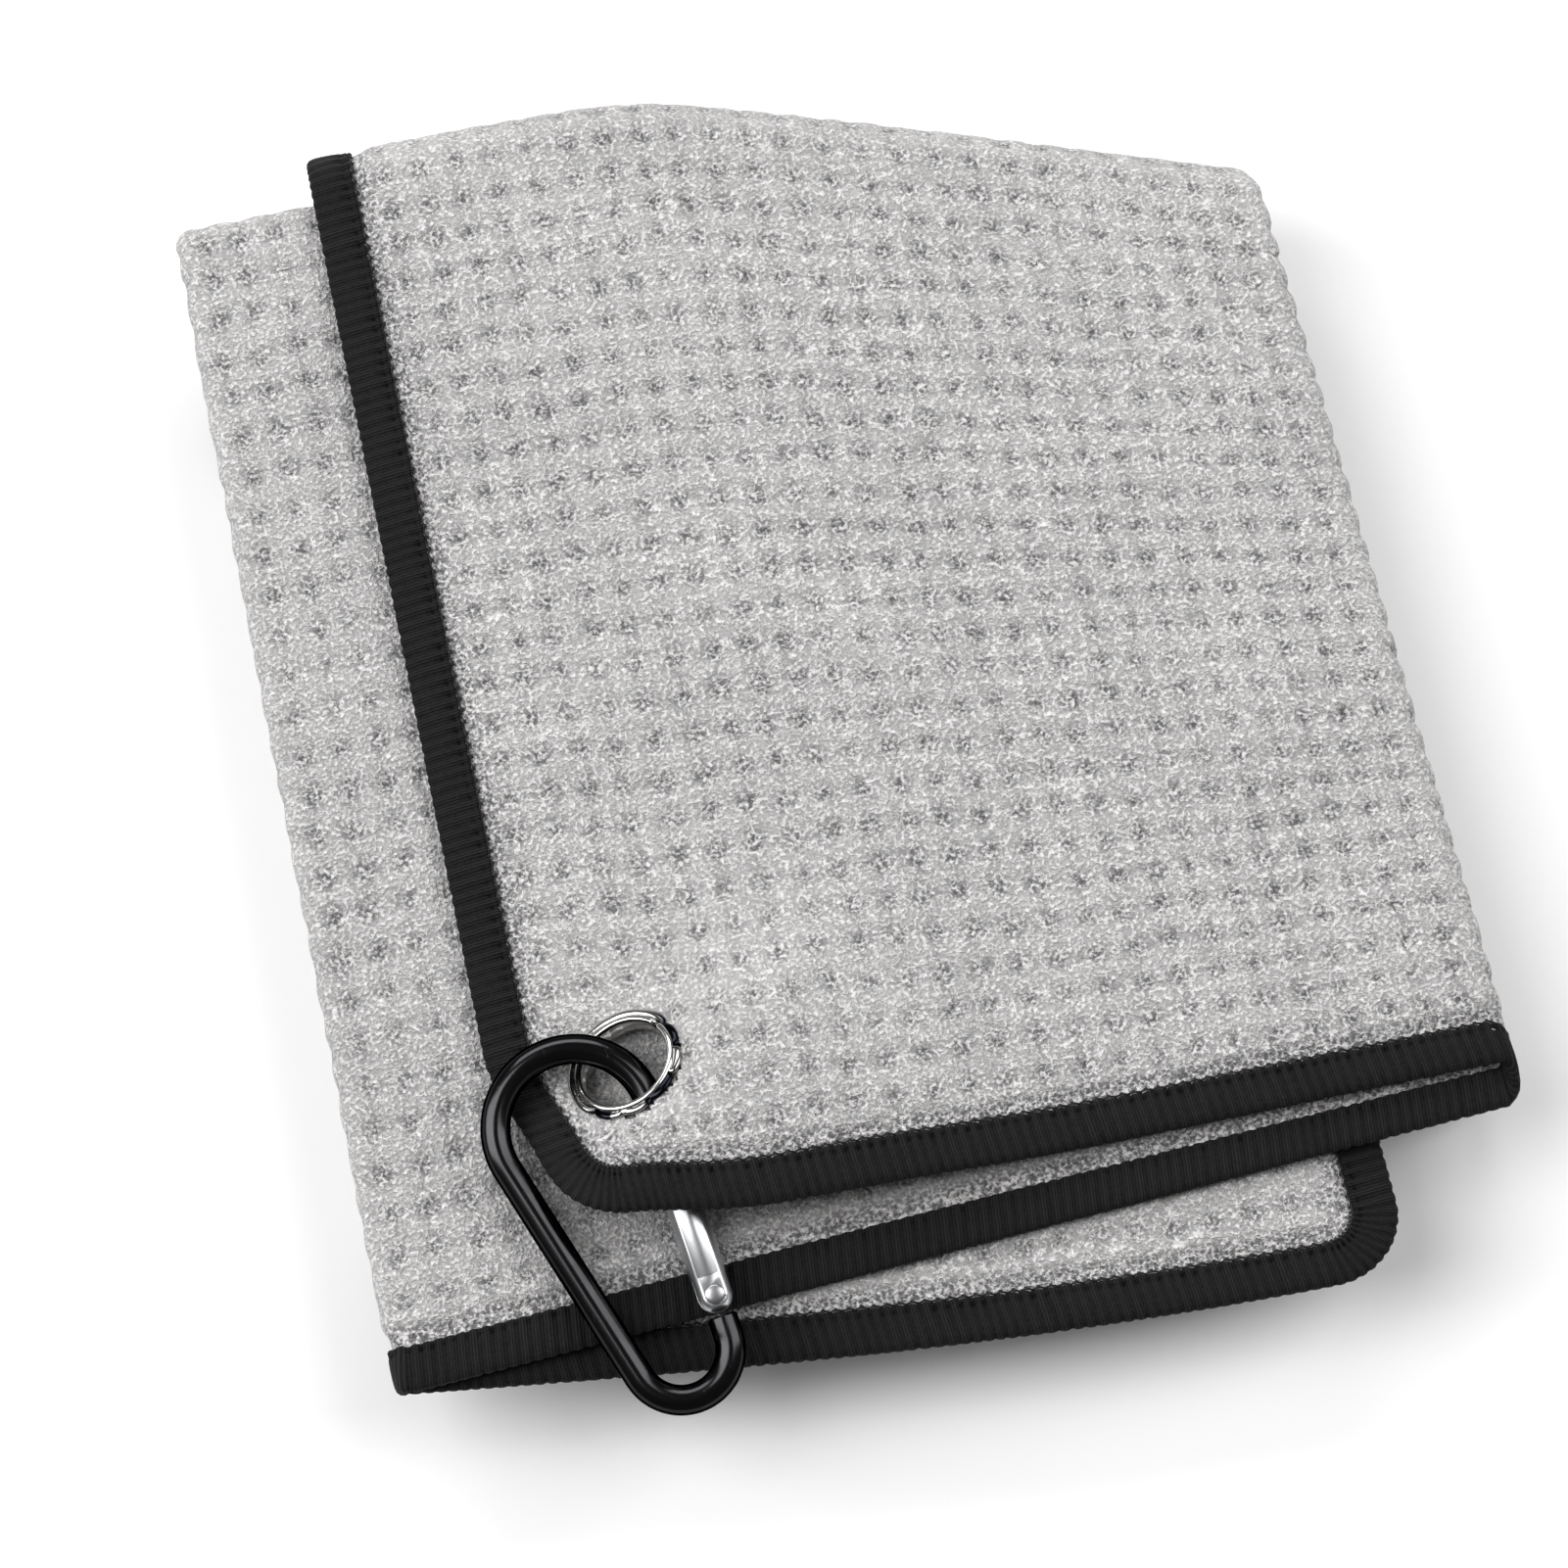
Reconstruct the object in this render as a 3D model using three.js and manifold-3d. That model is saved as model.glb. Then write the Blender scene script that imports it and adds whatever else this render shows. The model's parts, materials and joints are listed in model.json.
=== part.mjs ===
// Waffle golf towel, folded in thirds both ways, with a bound edge, a brass eyelet and a snap carabiner.
// Millimetres, +Z up. The folded towel lies on the floor with its front corner, eyelet and carabiner on
// top. The origin is on the underside of the bottom layer; +Y points to the top fold and +X to the right.
import * as THREE from 'three';
import { mergeVertices } from 'three/addons/utils/BufferGeometryUtils.js';
import Module from 'manifold-3d';

const wasm = await Module();
wasm.setup();

// ---------------------------------------------------------------- driving dimensions

const clearance = 0.3; // running gap between pieces that touch

// the cloth
const clothThickness = 2.0; // waffle cloth, loose
const hemThickness = 0.6; // the same cloth pressed flat inside the binding and under the eyelet
const layerPitch = 2.6; // from the middle of one layer to the middle of the next in the folded stack
const towelLength = 395; // cut length, along Y before the towel is folded

// the first fold, in thirds across the width: front, middle and back layer
const frontLeftEdge = -42; // free edge of the front layer
const rightFold = 79; // outside of the fold between front and middle layer
const leftFold = -60; // outside of the fold between middle and back layer
const backRightEdge = 61; // free edge of the back layer

// the second fold, in thirds along the length: panels A (top), B and C (on the floor)
const topFoldCentre = 87; // middle of the fold between panels A and B, at the front layer
const innerFoldDrop = 3.5; // how much lower the two inner layers turn at the top
const lowerFoldCentre = -36.6; // middle of the fold between panels B and C
const topSlope = 0.325; // the top fold line runs down to the right of its knee at this slope
const topKnee = 8; // how gradually that slope begins
const lowerShare = 0.45; // share of the slope that reaches the lower fold
const rightLean = 0.00047; // how much the right fold leans in towards the top
const leanKnee = 20; // how gradually that lean begins, right of the middle
const leanReach = 25;

// lower ends of the three layers of panel A
const frontEnd = -51;
const frontCornerRise = 2.5; // the front layer's end curves up at its left corner
const frontCornerX = -10; // the curve begins here
const frontCornerWidth = 26;
const middleEndRight = -56;
const middleEndLeft = -62.4;
const backEndLeft = -62;
const backEndRight = -72.4;

// the binding sewn round the edge
const bindingWidth = 5.5;
const bindingThickness = 2.0;
const bindingWall = 0.3;
const bindingWeb = 1.1; // solid band outside the cloth's cut edge
const cornerRadius = 9.5;
const threadWidth = 0.6;
const threadHeight = 0.35;
const hemMargin = 0.7; // flat hem past the thread, before the cloth swells
const hemRise = 1.2; // how far it takes to reach its full thickness

// the eyelet
const eyeletX = -25.5;
const eyeletY = -30.7;
const eyeletRise = 6.6; // height of its middle above the middle layer
const eyeletSlope = 31; // degrees, the cloth round it slopes up towards the gate
const ascentAngle = -49.5; // degrees from +X, the way it slopes up
const liftCrest = 8.4; // past the eyelet's middle, where the cloth is over the gate and levels out
const liftKnee = 2.45; // how gradually the slope begins and ends
const crestFall = 0.09; // slope down again beyond the crest
const crestKnee = 4;
const liftFadeX = -16.5; // the lift fades out to the right of here
const liftFadeWidth = 62;
const liftFadeAside = 8; // and this far to the upper side of the slope
const liftFadeLength = 42;
const pullDepth = 4.6; // how far the front layer's corner is drawn in beside the carabiner's spine
const pullTop = -25; // the pull begins below here
const pullLength = 18;
const pullRight = -14; // and left of here
const pullWidth = 26;
const holeDiameter = 11.2;
const eyeletDiameter = 15;
const barrelWall = 0.3;
const lipHeight = 0.6;
const washerThickness = 0.3;
const flangeThickness = 0.3;
const flangeWidth = 1.0;
const mouthFlare = 0.12; // the barrel opens out by this at both ends
const lipRound = 0.45; // width of the rolled lip's rounded shoulders

// the carabiner
const wireDiameter = 3.6;
const topRadius = 9.3; // centre line of the wide end
const bottomRadius = 5.8; // centre line of the narrow end
const endDistance = 29; // between the centres of the two ends
const gateDiameter = 4.4;
const hingeHeight = 4.8; // hinge above the start of the narrow end, along the gate
const noseLength = 3.6; // straight wire past the wide end, before the gate begins
const hingeFlat = 0.5; // depth of the two flats that the rivet's heads sit on
const latchInset = 0.75; // the latch pin's notch, in from the nose's inner side
const latchFromTip = 1.9; // the latch pin, back from the gate's end
const noseReach = 3.7; // length of the flat nose inside the gate's slot
const noseFlat = 0.35; // how much narrower the nose is than the wire, each side
const noseTaper = 0.5; // the nose's lead-in on the side that the gate opens from
const noseTaperLength = 0.8;
const tabOverlap = 0.6; // how far each flat end runs back into the wire
const tongueThickness = 1.0;
const tongueRadius = 1.6; // round eye about the rivet
const camRise = 0.5; // lobe on that eye, which drives the pusher as the gate opens
const camAngle = THREE.MathUtils.degToRad(120); // place of the lobe, from the gate's right
const rivetDiameter = 1.3;
const rivetHeadDiameter = 2.4;
const rivetHeadHeight = 0.35;
const latchPinDiameter = 1.0;
const boreDiameter = 2.4;
const pusherDiameter = 1.6;
const pusherLength = 3.0;
const springLength = 8.0;
const springWire = 0.35;
const springTurns = 7;
const carabinerX = -33.0;
const carabinerY = -36.4;
const carabinerTurn = 14; // degrees, from lying along Y
const carabinerTilt = 5.5; // degrees, its wide end is held up by the eyelet

// how finely the cloth is divided
const nearEyelet = 28; // closer lines from the hem to here
const nearSteps = 9;
const panelSteps = 6;
const middleSteps = 7;
const sideFoldSteps = 4;
const mainFoldSteps = 6;
const cornerSteps = 4;

// ---------------------------------------------------------------- derived sizes

const half = clothThickness / 2;
const panelZ = 7 * layerPitch + half; // middle layer of panel A, above the floor
const foldRadius = layerPitch / 2; // first fold, each of three layers against the next
const foldDepth = (3 * layerPitch) / 2; // second fold, from the middle layer to the fold's centre
const rightCentre = rightFold - half - foldRadius;
const leftCentre = leftFold + half + foldRadius;
const frontWidth = rightCentre - frontLeftEdge;
const foldArc = Math.PI * foldRadius;
const middleWidth = rightCentre - leftCentre;
const backWidth = backRightEdge - leftCentre;
const towelWidth = frontWidth + foldArc + middleWidth + foldArc + backWidth;
const slopeTan = Math.tan(THREE.MathUtils.degToRad(eyeletSlope));
const ascent = new THREE.Vector2(
  Math.cos(THREE.MathUtils.degToRad(ascentAngle)),
  Math.sin(THREE.MathUtils.degToRad(ascentAngle)),
);

// ---------------------------------------------------------------- small helpers

const lerp = (a, b, t) => a + (b - a) * t;
const smooth = (t) => {
  const c = Math.min(1, Math.max(0, t));
  return c * c * (3 - 2 * c);
};
const softPlus = (x, knee) => (x + Math.hypot(x, knee)) / 2;

/** A closed mesh as a manifold solid, with its equal vertices merged and empty triangles dropped. */
function solid(geometry) {
  const bare = geometry.clone();
  bare.deleteAttribute('normal');
  bare.deleteAttribute('uv');
  const merged = mergeVertices(bare, 1e-4);
  const index = merged.index.array;
  const triangles = [];
  for (let i = 0; i < index.length; i += 3) {
    const [a, b, c] = [index[i], index[i + 1], index[i + 2]];
    if (a !== b && b !== c && c !== a) triangles.push(a, b, c);
  }
  return new wasm.Manifold(new wasm.Mesh({
    numProp: 3,
    vertProperties: new Float32Array(merged.attributes.position.array),
    triVerts: new Uint32Array(triangles),
  }));
}

/** A manifold solid back as a geometry. */
function fromSolid(body) {
  const mesh = body.getMesh();
  const geometry = new THREE.BufferGeometry();
  geometry.setAttribute('position', new THREE.BufferAttribute(new Float32Array(mesh.vertProperties), 3));
  geometry.setIndex(new THREE.BufferAttribute(new Uint32Array(mesh.triVerts), 1));
  geometry.computeVertexNormals();
  return geometry;
}

/** Rings of points joined side to side, closed on themselves or capped at both ends. */
function skin(rings, closed) {
  const count = rings[0].length;
  const points = rings.flat();
  const faces = [];
  const last = closed ? rings.length : rings.length - 1;
  for (let i = 0; i < last; i += 1) {
    const here = i * count;
    const next = ((i + 1) % rings.length) * count;
    for (let j = 0; j < count; j += 1) {
      const k = (j + 1) % count;
      faces.push(here + j, next + j, next + k, here + j, next + k, here + k);
    }
  }
  const geometry = new THREE.BufferGeometry();
  geometry.setFromPoints(points);
  geometry.setIndex(faces);
  return geometry;
}

/** A cylinder along Z between two heights. */
function rod(radius, from, to, sides = 16) {
  return new THREE.CylinderGeometry(radius, radius, to - from, sides)
    .rotateX(Math.PI / 2)
    .translate(0, 0, (from + to) / 2);
}

function boxBetween(low, high) {
  return new THREE.BoxGeometry(high[0] - low[0], high[1] - low[1], high[2] - low[2])
    .translate((low[0] + high[0]) / 2, (low[1] + high[1]) / 2, (low[2] + high[2]) / 2);
}

// ---------------------------------------------------------------- how the flat towel folds

/** Where the sheet runs across its width: place x, depth d in the stack, and normal (nx, nd). */
function acrossWidth(u) {
  let rest = u - frontWidth;
  if (rest <= 0) return { x: frontLeftEdge + u, d: layerPitch, nx: 0, nd: 1, layer: 'front' };
  if (rest < foldArc) {
    const a = rest / foldRadius;
    const d = foldRadius + foldRadius * Math.cos(a);
    return { x: rightCentre + foldRadius * Math.sin(a), d, nx: Math.sin(a), nd: Math.cos(a), layer: 'right' };
  }
  rest -= foldArc;
  if (rest <= middleWidth) return { x: rightCentre - rest, d: 0, nx: 0, nd: -1, layer: 'middle' };
  rest -= middleWidth;
  if (rest < foldArc) {
    const a = rest / foldRadius;
    const d = -foldRadius + foldRadius * Math.cos(a);
    return { x: leftCentre - foldRadius * Math.sin(a), d, nx: Math.sin(a), nd: -Math.cos(a), layer: 'left' };
  }
  rest -= foldArc;
  return { x: leftCentre + rest, d: -layerPitch, nx: 0, nd: 1, layer: 'back' };
}

/** The top and lower fold lines run down to the right; this is the drop at a place. */
function foldDrop(x, y) {
  const span = topFoldCentre - lowerFoldCentre;
  const share = lerp(lowerShare, 1, (y - lowerFoldCentre) / span);
  return -topSlope * softPlus(x, topKnee) * share;
}

/** The height before the drop that ends up at height y after it. */
function beforeDrop(x, y) {
  const span = topFoldCentre - lowerFoldCentre;
  const full = -topSlope * softPlus(x, topKnee);
  const rate = (1 - lowerShare) / span;
  return (y - full * (lowerShare - rate * lowerFoldCentre)) / (1 + full * rate);
}

/** Lower end of panel A at a place across the width, as it lies. */
function lowerEnd(u) {
  const { x, layer } = acrossWidth(u);
  const fromRight = (u - frontWidth) / foldArc;
  const across = (x - leftCentre) / (rightCentre - leftCentre);
  if (layer === 'front') return frontEnd + frontCornerRise * smooth((frontCornerX - x) / frontCornerWidth);
  if (layer === 'right') return lerp(frontEnd, middleEndRight, smooth(fromRight));
  if (layer === 'middle') return lerp(middleEndLeft, middleEndRight, across);
  const leftEnd = (middleEndLeft + backEndLeft) / 2;
  if (layer === 'left') return leftEnd;
  const onBack = Math.min(1, (x - leftCentre) / backWidth);
  return lerp(leftEnd, backEndRight, Math.sin((onBack * Math.PI) / 2));
}

/** Where the layers turn over the top: the inner ones turn a little lower than the front one. */
function topTurn(u) {
  const { x, layer } = acrossWidth(u);
  if (layer === 'front' || layer === 'right') return topFoldCentre;
  const fromRight = (rightCentre - x) / (middleWidth / 2);
  if (layer === 'middle') return topFoldCentre - innerFoldDrop * smooth(fromRight);
  return topFoldCentre - innerFoldDrop;
}

/** How far the front layer of panel A is lifted off the layer below, over the eyelet and the gate. */
function frontLift(x, y) {
  const along = (x - eyeletX) * ascent.x + (y - eyeletY) * ascent.y;
  const aside = -(x - eyeletX) * ascent.y + (y - eyeletY) * ascent.x;
  const start = -(eyeletRise - layerPitch) / slopeTan;
  const past = along - liftCrest;
  const rise = slopeTan * (softPlus(along - start, liftKnee) - softPlus(past, liftKnee));
  const fall = crestFall * softPlus(past, crestKnee);
  const fadeRight = 1 - smooth((x - liftFadeX) / liftFadeWidth);
  const fadeUp = 1 - smooth((aside - liftFadeAside) / liftFadeLength);
  return Math.max(0, rise - fall) * fadeRight * fadeUp;
}

/** The free corner of the front layer is drawn in beside the carabiner's spine. */
function cornerPull(x, y) {
  return pullDepth * smooth((pullTop - y) / pullLength) * smooth((pullRight - x) / pullWidth);
}

/** How the length is shared out at a place across the width: panel A, its fold, panel B, its fold. */
function foldLengths(u) {
  const here = acrossWidth(u);
  const topY = topTurn(u);
  const startY = beforeDrop(here.x, lowerEnd(u));
  return {
    topY,
    startY,
    panelA: topY - startY,
    topArc: Math.PI * (foldDepth + here.d),
    panelB: topY - lowerFoldCentre,
    lowArc: Math.PI * (foldDepth - here.d),
  };
}

/** A point of the towel: u across and v along the flat cloth, w out of its front face. */
function place(u, v, w) {
  const here = acrossWidth(u);
  const fold = foldLengths(u);
  const depth = here.d + w * here.nd;
  const flatX = here.x + w * here.nx;
  const endOfTop = fold.panelA + fold.topArc;
  const endOfB = endOfTop + fold.panelB;
  const endOfLow = endOfB + fold.lowArc;
  let y;
  let z;
  if (v <= fold.panelA) {
    y = fold.startY + v;
    z = panelZ + depth;
  } else if (v < endOfTop) {
    const a = (v - fold.panelA) / (foldDepth + here.d);
    y = fold.topY + (foldDepth + depth) * Math.sin(a);
    z = panelZ - foldDepth + (foldDepth + depth) * Math.cos(a);
  } else if (v <= endOfB) {
    y = fold.topY - (v - endOfTop);
    z = panelZ - 2 * foldDepth - depth;
  } else if (v < endOfLow) {
    const a = (v - endOfB) / (foldDepth - here.d);
    y = lowerFoldCentre - (foldDepth - depth) * Math.sin(a);
    z = panelZ - 3 * foldDepth + (foldDepth - depth) * Math.cos(a);
  } else {
    y = lowerFoldCentre + (v - endOfLow);
    z = panelZ - 4 * foldDepth + depth;
  }
  const right = softPlus(flatX, leanKnee);
  const x = flatX - (rightLean * (y - frontEnd) * right ** 2) / (right + leanReach);
  const dropped = y + foldDrop(flatX, y);
  const isFront = here.layer === 'front' && v <= fold.panelA;
  if (!isFront) return new THREE.Vector3(x, dropped, z);
  const pulled = x + cornerPull(x, dropped);
  return new THREE.Vector3(pulled, dropped, z + frontLift(pulled, dropped));
}

// ---------------------------------------------------------------- stations on the flat cloth

const edgeInset = bindingWeb + clearance;
const threadInset = bindingWidth + clearance;
const hemInset = threadInset + threadWidth + hemMargin;
const fullInset = hemInset + hemRise;

/** Evenly spaced steps between two numbers, without the first one. */
function steps(from, to, count) {
  return Array.from({ length: count }, (_, i) => lerp(from, to, (i + 1) / count));
}

/** Stations across the width: close together near the eyelet and round the folds. */
function widthStations() {
  const rightStart = frontWidth;
  const middleStart = rightStart + foldArc;
  const leftStart = middleStart + middleWidth;
  const backStart = leftStart + foldArc;
  return [
    ...steps(fullInset, fullInset + nearEyelet, nearSteps),
    ...steps(fullInset + nearEyelet, rightStart, panelSteps),
    ...steps(rightStart, middleStart, sideFoldSteps),
    ...steps(middleStart, leftStart, middleSteps),
    ...steps(leftStart, backStart, sideFoldSteps),
    ...steps(backStart, towelWidth - fullInset, panelSteps).slice(0, -1),
  ];
}

/** Lines across the cloth, each a function that gives its place along the length at any u. */
function lengthLines() {
  const fine = fullInset + nearEyelet;
  const between = (from, to, count) => steps(0, 1, count).map((t) => (u) => {
    const fold = foldLengths(u);
    return lerp(from(fold), to(fold), t);
  });
  const topStart = (fold) => fold.panelA;
  const topEnd = (fold) => fold.panelA + fold.topArc;
  const lowStart = (fold) => topEnd(fold) + fold.panelB;
  const lowEnd = (fold) => lowStart(fold) + fold.lowArc;
  return [
    ...between(() => fullInset, () => fine, nearSteps),
    ...between(() => fine, topStart, panelSteps),
    ...between(topStart, topEnd, mainFoldSteps),
    ...between(topEnd, lowStart, panelSteps),
    ...between(lowStart, lowEnd, mainFoldSteps),
    ...between(lowEnd, () => towelLength - fullInset, panelSteps).slice(0, -1),
  ];
}

const widths = widthStations();
const lines = lengthLines();

// ---------------------------------------------------------------- the towel's pieces

/** A flat place kept inside the cloth's rounded corners. */
function insideCorners(u, v) {
  const cu = THREE.MathUtils.clamp(u, cornerRadius, towelWidth - cornerRadius);
  const cv = THREE.MathUtils.clamp(v, cornerRadius, towelLength - cornerRadius);
  const out = Math.hypot(u - cu, v - cv);
  const limit = cornerRadius - edgeInset;
  const share = out > limit ? limit / out : 1;
  return [cu + (u - cu) * share, cv + (v - cv) * share];
}

/** The cloth: a thick sheet, pressed thin along its hem, with rounded corners. */
function clothSolid() {
  const edges = [edgeInset, hemInset, fullInset];
  const us = [...edges, ...widths, ...edges.map((e) => towelWidth - e).reverse()];
  const vs = [
    ...edges.map((e) => () => e),
    ...lines,
    ...edges.map((e) => () => towelLength - e).reverse(),
  ];
  const thin = (i, count) => i < 2 || i > count - 3;
  const side = (sign) => us.map((u, i) => vs.map((line, j) => {
    const thickness = thin(i, us.length) || thin(j, vs.length) ? hemThickness : clothThickness;
    return place(...insideCorners(u, line(u)), (sign * thickness) / 2);
  }));
  const top = side(1);
  const bottom = side(-1);
  const rows = vs.length;
  const points = [...top.flat(), ...bottom.flat()];
  const below = us.length * rows;
  const faces = [];
  const quad = (a, b, c, d) => faces.push(a, b, c, a, c, d);
  for (let i = 0; i + 1 < us.length; i += 1) {
    for (let j = 0; j + 1 < rows; j += 1) {
      const a = i * rows + j;
      const b = a + rows;
      quad(a, b, b + 1, a + 1);
      quad(below + a, below + a + 1, below + b + 1, below + b);
    }
    const low = i * rows;
    const high = low + rows - 1;
    quad(low, below + low, below + low + rows, low + rows);
    quad(high, high + rows, below + high + rows, below + high);
  }
  for (let j = 0; j + 1 < rows; j += 1) {
    const far = (us.length - 1) * rows + j;
    quad(j, j + 1, below + j + 1, below + j);
    quad(far, below + far, below + far + 1, far + 1);
  }
  const geometry = new THREE.BufferGeometry();
  geometry.setFromPoints(points);
  geometry.setIndex(faces);
  return solid(geometry);
}

/** Stations round the towel's rounded outline, each a function from the inset to [u, v]. */
function outline() {
  const corner = (cu, cv, from) => Array.from({ length: cornerSteps + 1 }, (_, k) => {
    const a = THREE.MathUtils.degToRad(from + (90 * k) / cornerSteps);
    return (inset) => [
      cu + (cornerRadius - inset) * Math.cos(a),
      cv + (cornerRadius - inset) * Math.sin(a),
    ];
  });
  const farU = towelWidth - cornerRadius;
  const farV = towelLength - cornerRadius;
  const acrossU = widths.filter((u) => u > cornerRadius && u < farU);
  const alongV = lines.slice(0, -1);
  return [
    ...corner(cornerRadius, cornerRadius, 180),
    ...acrossU.map((u) => (inset) => [u, inset]),
    ...corner(farU, cornerRadius, 270),
    ...alongV.map((line) => (inset) => [towelWidth - inset, line(towelWidth - inset)]),
    ...corner(farU, farV, 0),
    ...acrossU.map((u) => (inset) => [u, towelLength - inset]).reverse(),
    ...corner(cornerRadius, farV, 90),
    ...alongV.map((line) => (inset) => [inset, line(inset)]).reverse(),
  ];
}

/** A ring round the whole towel, from a section given as [inset from the edge, height off the cloth]. */
function edgeRing(section) {
  const rings = outline().map((station) => section.map(([inset, w]) => place(...station(inset), w)));
  return skin(rings, true);
}

function bindingGeometry() {
  const outer = bindingThickness / 2;
  const inner = outer - bindingWall;
  return edgeRing([
    [bindingWidth, inner], [bindingWeb, inner], [bindingWeb, -inner], [bindingWidth, -inner],
    [bindingWidth, -outer], [0, -outer], [0, outer], [bindingWidth, outer],
  ]);
}

function threadGeometry() {
  const low = hemThickness / 2 + clearance;
  const high = low + threadHeight;
  const far = threadInset + threadWidth;
  return edgeRing([[far, low], [threadInset, low], [threadInset, high], [far, high]]);
}

// ---------------------------------------------------------------- the eyelet

const eyeletFrame = new THREE.Matrix4().makeTranslation(eyeletX, eyeletY, panelZ + eyeletRise).multiply(
  new THREE.Matrix4().makeRotationFromQuaternion(new THREE.Quaternion().setFromUnitVectors(
    new THREE.Vector3(0, 0, 1),
    new THREE.Vector3(-slopeTan * ascent.x, -slopeTan * ascent.y, 1).normalize(),
  )),
);
const hole = holeDiameter / 2;
const web = hemThickness / 2; // cloth pressed between lip and washer
const lipStart = web + clearance;
const barrelOutside = hole + barrelWall;
const rim = eyeletDiameter / 2;

/** Barrel with a rolled lip on the front and a turned flange behind the washer. */
function eyeletGeometry() {
  const flangeTop = -(lipStart + washerThickness + clearance);
  const flangeLow = flangeTop - flangeThickness;
  const profile = [
    [hole, -web], [hole + mouthFlare, flangeTop], [hole + flangeWidth / 2, flangeLow],
    [hole + flangeWidth, flangeLow], [hole + flangeWidth, flangeTop], [barrelOutside, flangeTop],
    [barrelOutside, lipStart], [rim - mouthFlare, lipStart], [rim, lipStart + lipHeight * 0.35],
    [rim - lipRound, lipStart + lipHeight * 0.85], [lerp(hole, rim, 0.5), lipStart + lipHeight],
    [hole + lipRound, lipStart + lipHeight * 0.9], [hole + mouthFlare, lipStart + lipHeight * 0.55],
    [hole, web], [hole, -web],
  ].map(([r, h]) => new THREE.Vector2(r, h));
  return new THREE.LatheGeometry(profile, 32).rotateX(Math.PI / 2);
}

function washerGeometry() {
  const inside = barrelOutside + clearance;
  const outside = rim - clearance;
  const profile = [
    [inside, -lipStart - washerThickness], [outside, -lipStart - washerThickness],
    [outside, -lipStart], [inside, -lipStart], [inside, -lipStart - washerThickness],
  ].map(([r, h]) => new THREE.Vector2(r, h));
  return new THREE.LatheGeometry(profile, 32).rotateX(Math.PI / 2);
}

/** Everything of the cloth that gives way to the eyelet: the hole and the two pressed seats. */
function eyeletPocket() {
  const seat = rim + clearance;
  const far = 4;
  const open = solid(rod(barrelOutside + clearance, -far, far, 32));
  const front = solid(rod(seat, web, far, 32));
  const back = solid(rod(seat, -far, -web, 32));
  return open.add(front).add(back);
}

// ---------------------------------------------------------------- the carabiner, in its own plane

// Its own frame: the centre of the wide end at the origin, the narrow end towards -Y, the gate at +X.
const wire = wireDiameter / 2;
const taper = Math.asin((topRadius - bottomRadius) / endDistance);
const bottomCentre = new THREE.Vector2(0, -endDistance);
const outward = new THREE.Vector2(Math.cos(taper), -Math.sin(taper)); // square to the gate
const upGate = new THREE.Vector2(Math.sin(taper), Math.cos(taper)); // from the hinge to the nose
const gateFoot = bottomCentre.clone().addScaledVector(outward, bottomRadius);
const noseRoot = new THREE.Vector2().addScaledVector(outward, topRadius)
  .addScaledVector(upGate, -noseLength);
const hinge = gateFoot.clone().addScaledVector(upGate, hingeHeight);
const gateSpan = noseRoot.distanceTo(hinge); // hinge to where the wire of the wide end stops
const gateRadius = gateDiameter / 2;
const slot = tongueThickness / 2 + clearance; // half the slots in the gate's two ends
const rivetSeat = gateRadius - hingeFlat + clearance;
const rivetTip = rivetSeat + rivetHeadHeight;
const gateTip = gateSpan - clearance;
const latchHeight = gateTip - latchFromTip;
const noseHalf = wire - noseFlat;
const latchX = -noseHalf + latchInset;
const slotTop = tongueRadius + camRise + clearance;
const pusherFoot = tongueRadius + clearance;
const springFoot = pusherFoot + pusherLength + clearance;
const boreTop = springFoot + springLength + clearance;

/** From the gate's own frame (hinge at the origin, gate along +Y) into the carabiner's. */
const gateFrame = new THREE.Matrix4().makeTranslation(hinge.x, hinge.y, 0)
  .multiply(new THREE.Matrix4().makeRotationZ(-taper));

/** Centre line of the frame's wire from the nose, over the wide end, down the spine and up to the hinge. */
function wireLine() {
  const line = [];
  const arc = (centre, radius, from, to, count) => {
    for (let k = 0; k <= count; k += 1) {
      const a = lerp(from, to, k / count);
      line.push(new THREE.Vector3(centre.x + radius * Math.cos(a), centre.y + radius * Math.sin(a), 0));
    }
  };
  line.push(new THREE.Vector3(noseRoot.x, noseRoot.y, 0));
  arc(new THREE.Vector2(), topRadius, -taper, Math.PI + taper, 18);
  arc(bottomCentre, bottomRadius, Math.PI + taper, 2 * Math.PI - taper, 12);
  const shoulder = hinge.clone().addScaledVector(upGate, -(gateRadius + clearance));
  line.push(new THREE.Vector3(shoulder.x, shoulder.y, 0));
  return line;
}

/** A round wire along a flat line, capped at both ends. */
function wireSolid(line, radius, sides = 12) {
  const points = [];
  line.forEach((p, i) => {
    const before = line[Math.max(0, i - 1)];
    const after = line[Math.min(line.length - 1, i + 1)];
    const dir = after.clone().sub(before).normalize();
    const sideways = new THREE.Vector3(dir.y, -dir.x, 0);
    for (let k = 0; k < sides; k += 1) {
      const a = (2 * Math.PI * k) / sides;
      points.push(p.clone()
        .addScaledVector(sideways, radius * Math.cos(a))
        .add(new THREE.Vector3(0, 0, radius * Math.sin(a))));
    }
  });
  const faces = [];
  for (let i = 0; i + 1 < line.length; i += 1) {
    for (let k = 0; k < sides; k += 1) {
      const a = i * sides + k;
      const b = i * sides + ((k + 1) % sides);
      faces.push(a, b, b + sides, a, b + sides, a + sides);
    }
  }
  const end = (line.length - 1) * sides;
  for (let k = 1; k + 1 < sides; k += 1) {
    faces.push(0, k + 1, k);
    faces.push(end, end + k, end + k + 1);
  }
  const geometry = new THREE.BufferGeometry();
  geometry.setFromPoints(points);
  geometry.setIndex(faces);
  const body = solid(geometry);
  return body.volume() < 0 ? solid(flipped(geometry)) : body;
}

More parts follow.
